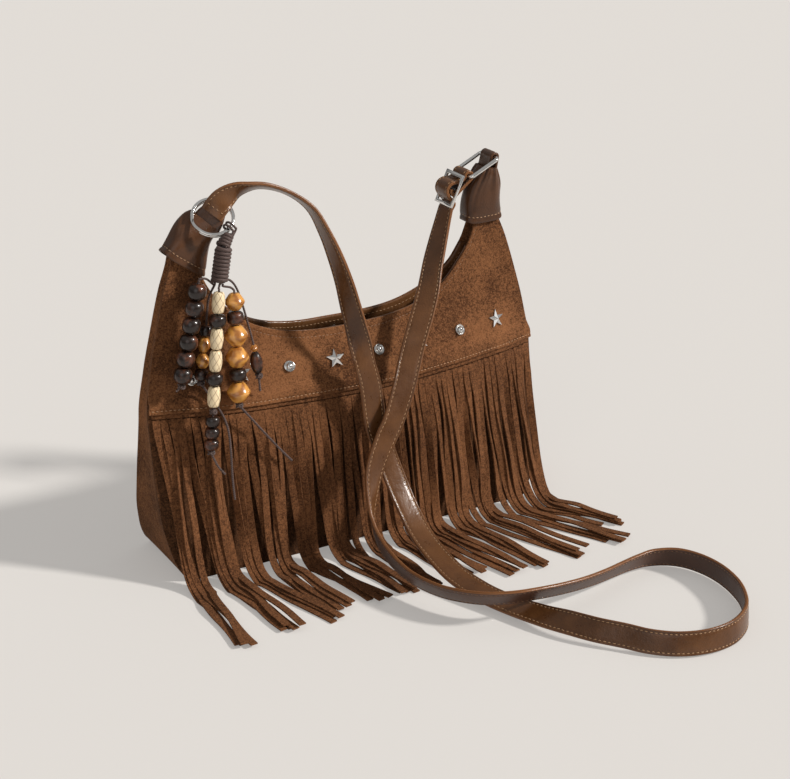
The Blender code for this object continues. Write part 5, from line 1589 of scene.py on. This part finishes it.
cap("cap_left_leather", "cap_left", LEFT_CAP, 0.14, 0.7)
cap("cap_right_leather", "cap_right", RIGHT_CAP, 0.6, 2.1)
print("caps made")


# %% Fold the tabs
TAB_THICK = 1.0 * MM
# Across a tab as shares of its half width, and its bulge there: rounded edges, a shallow channel.
BAND = ((-1, 0.1), (-0.985, 0.6), (-0.93, 0.95), (-0.8, 0.82), (-0.5, 1), (0, 1), (0.5, 1),
        (0.8, 0.82), (0.93, 0.95), (0.985, 0.6), (1, 0.1))


def tab(side, points, sides, normals, half):
    """A flat leather band along the points."""
    across, bulge = np.array(BAND).T * ((half,), (TAB_THICK,))
    section = np.concatenate([np.stack([across, bulge], -1), np.stack([across[::-1], -bulge[::-1]], -1)])
    made = tube_grid(f"tab_{side}_leather", swept(points, sides, normals, section), CAP_LEATHER, angle=60)
    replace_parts(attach(made, "root"), "tab_" + side)


# The left tab lies under the strap's first end and starts wider and thicker inside the cap.
below = STRAP_THICK / 2 + GAP + TAB_THICK
tab_start = centres[0] - normals[0] * below
start_way = unit(centres[1] - centres[0])
hidden = [tab_start - start_way * back * MM for back in (10, 7.5, 5, 2.5)]
count = int(np.searchsorted(running(centres), 9 * MM))
tab_points = np.array(hidden + list(centres[:count] - normals[:count] * below))
from_start = running(tab_points)
wider = np.interp(from_start, (0, 8 * MM, 15 * MM), (1.45, 1.3, 1.0))[:, None]
thicker = np.interp(from_start, (0, 8 * MM, 11 * MM), (2.2, 1.6, 1.0))[:, None]
like_strap = [0] * len(hidden) + list(range(count))
tab("left", tab_points, sides[like_strap] * wider, normals[like_strap] * thicker, 7.4 * MM)

# The right tab folds over the ring's far bar and goes down into the cap.
far_bar = RING_CENTRE + RING_AXIS * RING_LENGTH / 2
angles = np.radians(np.linspace(-10, 190, 26))
hug = WIRE / 2 + GAP + TAB_THICK
over_bar = far_bar + np.stack([np.cos(angles), 0 * angles, np.sin(angles)], -1) * hug
tab_points = np.concatenate([[(0.1202, 0, 0.238), (0.1214, 0, 0.242), (0.1224, 0, 0.246)], over_bar,
                             [(0.1166, 0, 0.246), (0.116, 0, 0.242), (0.1154, 0, 0.238)]])
ways = directions(tab_points)
tab("right", tab_points, np.repeat([[0.0, 1, 0]], len(tab_points), 0),
    np.stack([-ways[:, 2], 0 * ways[:, 0], ways[:, 0]], -1), 7 * MM)
print("tabs made")

# %% [markdown]
# ## Rings, slider and studs
# The oblong ring is one bent wire and the key ring two turns of flattened wire. The slider is a
# stamped plate with two windows. Its solid already has the shape, so a cleaned copy of it is
# polished. Studs repeat along the yoke: one tree sets a stud form on points with their directions.

# %% Bend the rings
RING_ACROSS, CORNER_STEPS = np.array([0, 1.0, 0]), 8
corner_points = []
for corner, (sx, sy) in enumerate(((1, 1), (-1, 1), (-1, -1), (1, -1))):
    middle = (RING_CENTRE + RING_AXIS * sx * (RING_LENGTH / 2 - RING_CORNER)
              + RING_ACROSS * sy * (RING_WIDTH / 2 - RING_CORNER))
    for k in range(CORNER_STEPS + 1):
        angle = math.radians(90 * corner + 90 / CORNER_STEPS * k)
        way = RING_AXIS * math.cos(angle) + RING_ACROSS * math.sin(angle)
        corner_points.append((middle + way * RING_CORNER, way))
ring_line, ring_out = (np.array(part) for part in zip(*corner_points))
ring_up = np.repeat([np.cross(RING_AXIS, RING_ACROSS)], len(ring_line), 0)
ring = tube_grid("oblong_ring", swept(ring_line, ring_out, ring_up, ring_points(18) * WIRE / 2), STEEL,
                 closed=True)
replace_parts(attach(ring, "root"), "ring_right")

# The key ring's two turns lie side by side and cross over in a short step.
SPLIT_POINTS, SPLIT_STEP, SPLIT_CLIMB = 241, 0.06, (1.6 + 0.25) * MM
SPLIT_HALVES = (1.05 * MM, 0.86 * MM)
SPLIT_SECTION = [(-1, -0.55), (-0.85, -0.85), (-0.55, -1), (0.55, -1), (0.85, -0.85), (1, -0.55),
                 (1, 0.55), (0.85, 0.85), (0.55, 1), (-0.55, 1), (-0.85, 0.85), (-1, 0.55)]
ring_axis = np.cross(ACROSS, wire_way)
turns = SPLIT_STEP + (2 - 2 * SPLIT_STEP) * np.linspace(0, 1, SPLIT_POINTS)
angles = 2 * math.pi * (turns - 0.3)
ring_way = ACROSS * np.cos(angles)[:, None] + wire_way * np.sin(angles)[:, None]
crossing = np.clip((turns - 1) / SPLIT_STEP, -1, 1)
climb = SPLIT_CLIMB * np.sin(crossing * math.pi / 2) / 2
split_line = RING_MIDDLE + ring_way * KEY_RING_RADIUS * MM + ring_axis * climb[:, None]
split = tube_grid("split_ring", swept(split_line, ring_way, np.repeat([ring_axis], SPLIT_POINTS, 0),
                                      np.array(SPLIT_SECTION) * SPLIT_HALVES), STEEL, angle=50)
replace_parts(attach(split, "key_ring"), "key_ring")
print("rings bent")

# %% Polish the slider
slider_mesh = frame["nodes"]["slider"].data.copy()
maker = bmesh.new()
maker.from_mesh(slider_mesh)
bmesh.ops.remove_doubles(maker, verts=maker.verts, dist=0.00001)
bmesh.ops.dissolve_limit(maker, angle_limit=0.01, verts=maker.verts, edges=maker.edges)
maker.to_mesh(slider_mesh)
maker.free()
polish(slider_mesh, 60)
slider = bpy.data.objects.new("slider_plate", slider_mesh)
bpy.context.scene.collection.objects.link(slider)
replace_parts(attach(slider, "root"), "slider")
print("slider has", len(slider_mesh.polygons), "faces")

# %% Set the studs
STUD_HEIGHT, STUD_RISE, STUD_PITCH, STUD_COUNT, STUD_PROUD = 0.1336, 0.002, 0.034, 8, 0.25 * MM


def round_form(name):
    """A turned rivet: a flat rim, a hollow and a dome in its middle."""
    outline = [(0.01, 0), (3.7, 0), (3.9, 0.35), (3.75, 0.75), (3.45, 0.85), (3.1, 0.45), (2.7, 0.3),
               (2.45, 0.6), (2.2, 1.3), (1.6, 1.95), (0.8, 2.25), (0.01, 2.3)]
    flat = ring_points(24)
    grid = np.array([[(*(p * r * MM), h * MM) for p in flat] for r, h in outline])
    return tube_grid(name, grid, STEEL, angle=50)


def star_form(name):
    """Five points, each folded along its middle, with an eased rim."""
    tip, dip = 7.2, 3.1
    rings = []
    for reach, height in ((0.97, 0), (1, 0.25), (0.96, 0.6)):
        ring = []
        for k in range(10):
            r = (dip if k % 2 else tip) * reach
            ring.append((r * math.sin(math.pi / 5 * k), r * math.cos(math.pi / 5 * k), height))
        rings.append(ring)
    points = [p for ring in rings for p in ring] + [(0, 0, 2.5)]
    faces = [tuple(reversed(range(10)))]
    for level in (0, 10):
        faces += [(level + k, level + (k + 1) % 10, level + 10 + (k + 1) % 10, level + 10 + k)
                  for k in range(10)]
    faces += [(20 + k, 20 + (k + 1) % 10, 30) for k in range(10)]
    return mesh_piece(name, np.array(points) * MM, faces, STEEL, angle=0)


def stud_place(x):
    """A stud's place on the yoke, and the way it faces."""
    z = STUD_HEIGHT + STUD_RISE * (x / HALF_WIDTH) ** 2
    u = x / float(half_width(z))
    here, beside, above = (on_shell(-1, np.array(u + du), np.array(z + dz), STUD_PROUD)
                           for du, dz in ((0, 0), (0.02, 0), (0, 3 * MM)))
    return here, unit(np.cross(beside - here, above - here))


STUDS = Shape("studs", {"Form": "Object", "Material": "Material"})
STUDS.set_form(STUDS.add("FunctionNodeAlignRotationToVector", {"axis": "Y", "pivot_axis": "Z"},
                         {"Rotation": STUDS.stand(), "Vector": (0, 0, 1)}))
for first, (kind, form_of, angle) in enumerate((("round", round_form, 50), ("star", star_form, 0))):
    title = kind + "_studs"
    found = [stud_place(STUD_PITCH * (k - (STUD_COUNT - 1) / 2)) for k in range(first, STUD_COUNT, 2)]
    source = line_mesh(title, [[here] for here, _ in found], way=[np.array([way]) for _, way in found])
    form = form_of("form_" + title)
    studs = grown(title, source, STUDS, angle, Form=form, Material=STEEL)
    bpy.data.objects.remove(form)
    nodes = [f"{kind}_stud_{i}" for i in range(1, len(found) + 1)]
    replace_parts(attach(studs, "root"), *nodes)
print("studs set")

# %% [markdown]
# ## The floor and the light
# The bag stands on a pale seamless floor, which also glows a little of itself, so that it stays
# pale far from the lamp. One broad lamp from the right throws the shadows, and a weak one from the
# left and a dim sky fill them. The sky is brighter overhead and darker low down, because polished
# steel only looks like steel when it has something dark to reflect.

# %% Floor, sky and lamps
FLOOR_COLOUR = (0.728, 0.700, 0.669)
floor = bpy.data.objects.new("floor", bpy.data.meshes.new("floor"))
floor.data.from_pydata([(-9, -9, 0), (9, -9, 0), (9, 9, 0), (-9, 9, 0)], [], [(0, 1, 2, 3)])
bpy.context.scene.collection.objects.link(floor)
plain = Finish("floor")
plain.paint(Base_Color=FLOOR_COLOUR, Roughness=1.0, Specular_IOR_Level=0.0)
rays = plain.add("ShaderNodeLightPath").socket.node.outputs
seen, mirrored, through = (Value(plain, rays[f"Is {kind} Ray"])
                           for kind in ("Camera", "Glossy", "Transmission"))
glow = plain.add("ShaderNodeEmission", None, {"Color": (*FLOOR_COLOUR, 1), "Strength": 1.0})
lit = Value(plain, plain.shader.outputs[0])
both = plain.add("ShaderNodeMixShader", None, {0: (seen + mirrored + through) * 0.4, 1: lit, 2: glow})
plain.tree.links.new(both.socket, plain.tree.nodes["Material Output"].inputs["Surface"])
floor.data.materials.append(plain.material)

sky = bpy.data.worlds.new("sky")
sky.use_nodes = True
bpy.context.scene.world = sky
air = Graph(sky.node_tree)
way = air.add("ShaderNodeTexCoord", output="Generated")
height = Value(air, air.add("ShaderNodeSeparateXYZ", None, {0: way}).socket.node.outputs[2])
strength = height.between(-0.05, 0.55) * 0.31 + 0.07
background = sky.node_tree.nodes["Background"]
background.inputs["Color"].default_value = (1.0, 0.985, 0.97, 1)
sky.node_tree.links.new(strength.socket, background.inputs["Strength"])


def sun(name, toward_light, strength, angle, colour=(1, 1, 1)):
    lamp = bpy.data.lights.new(name, "SUN")
    lamp.energy, lamp.angle, lamp.color = strength, math.radians(angle), colour
    made = bpy.data.objects.new(name, lamp)
    made.rotation_mode = "QUATERNION"
    made.rotation_quaternion = Vector(toward_light).to_track_quat("Z", "Y")
    bpy.context.scene.collection.objects.link(made)


sun("key", (0.66, -0.50, 0.56), 3.8, 6, (1.0, 0.97, 0.93))
sun("fill", (-0.75, -0.85, 0.5), 0.3, 40)
print("lights set")
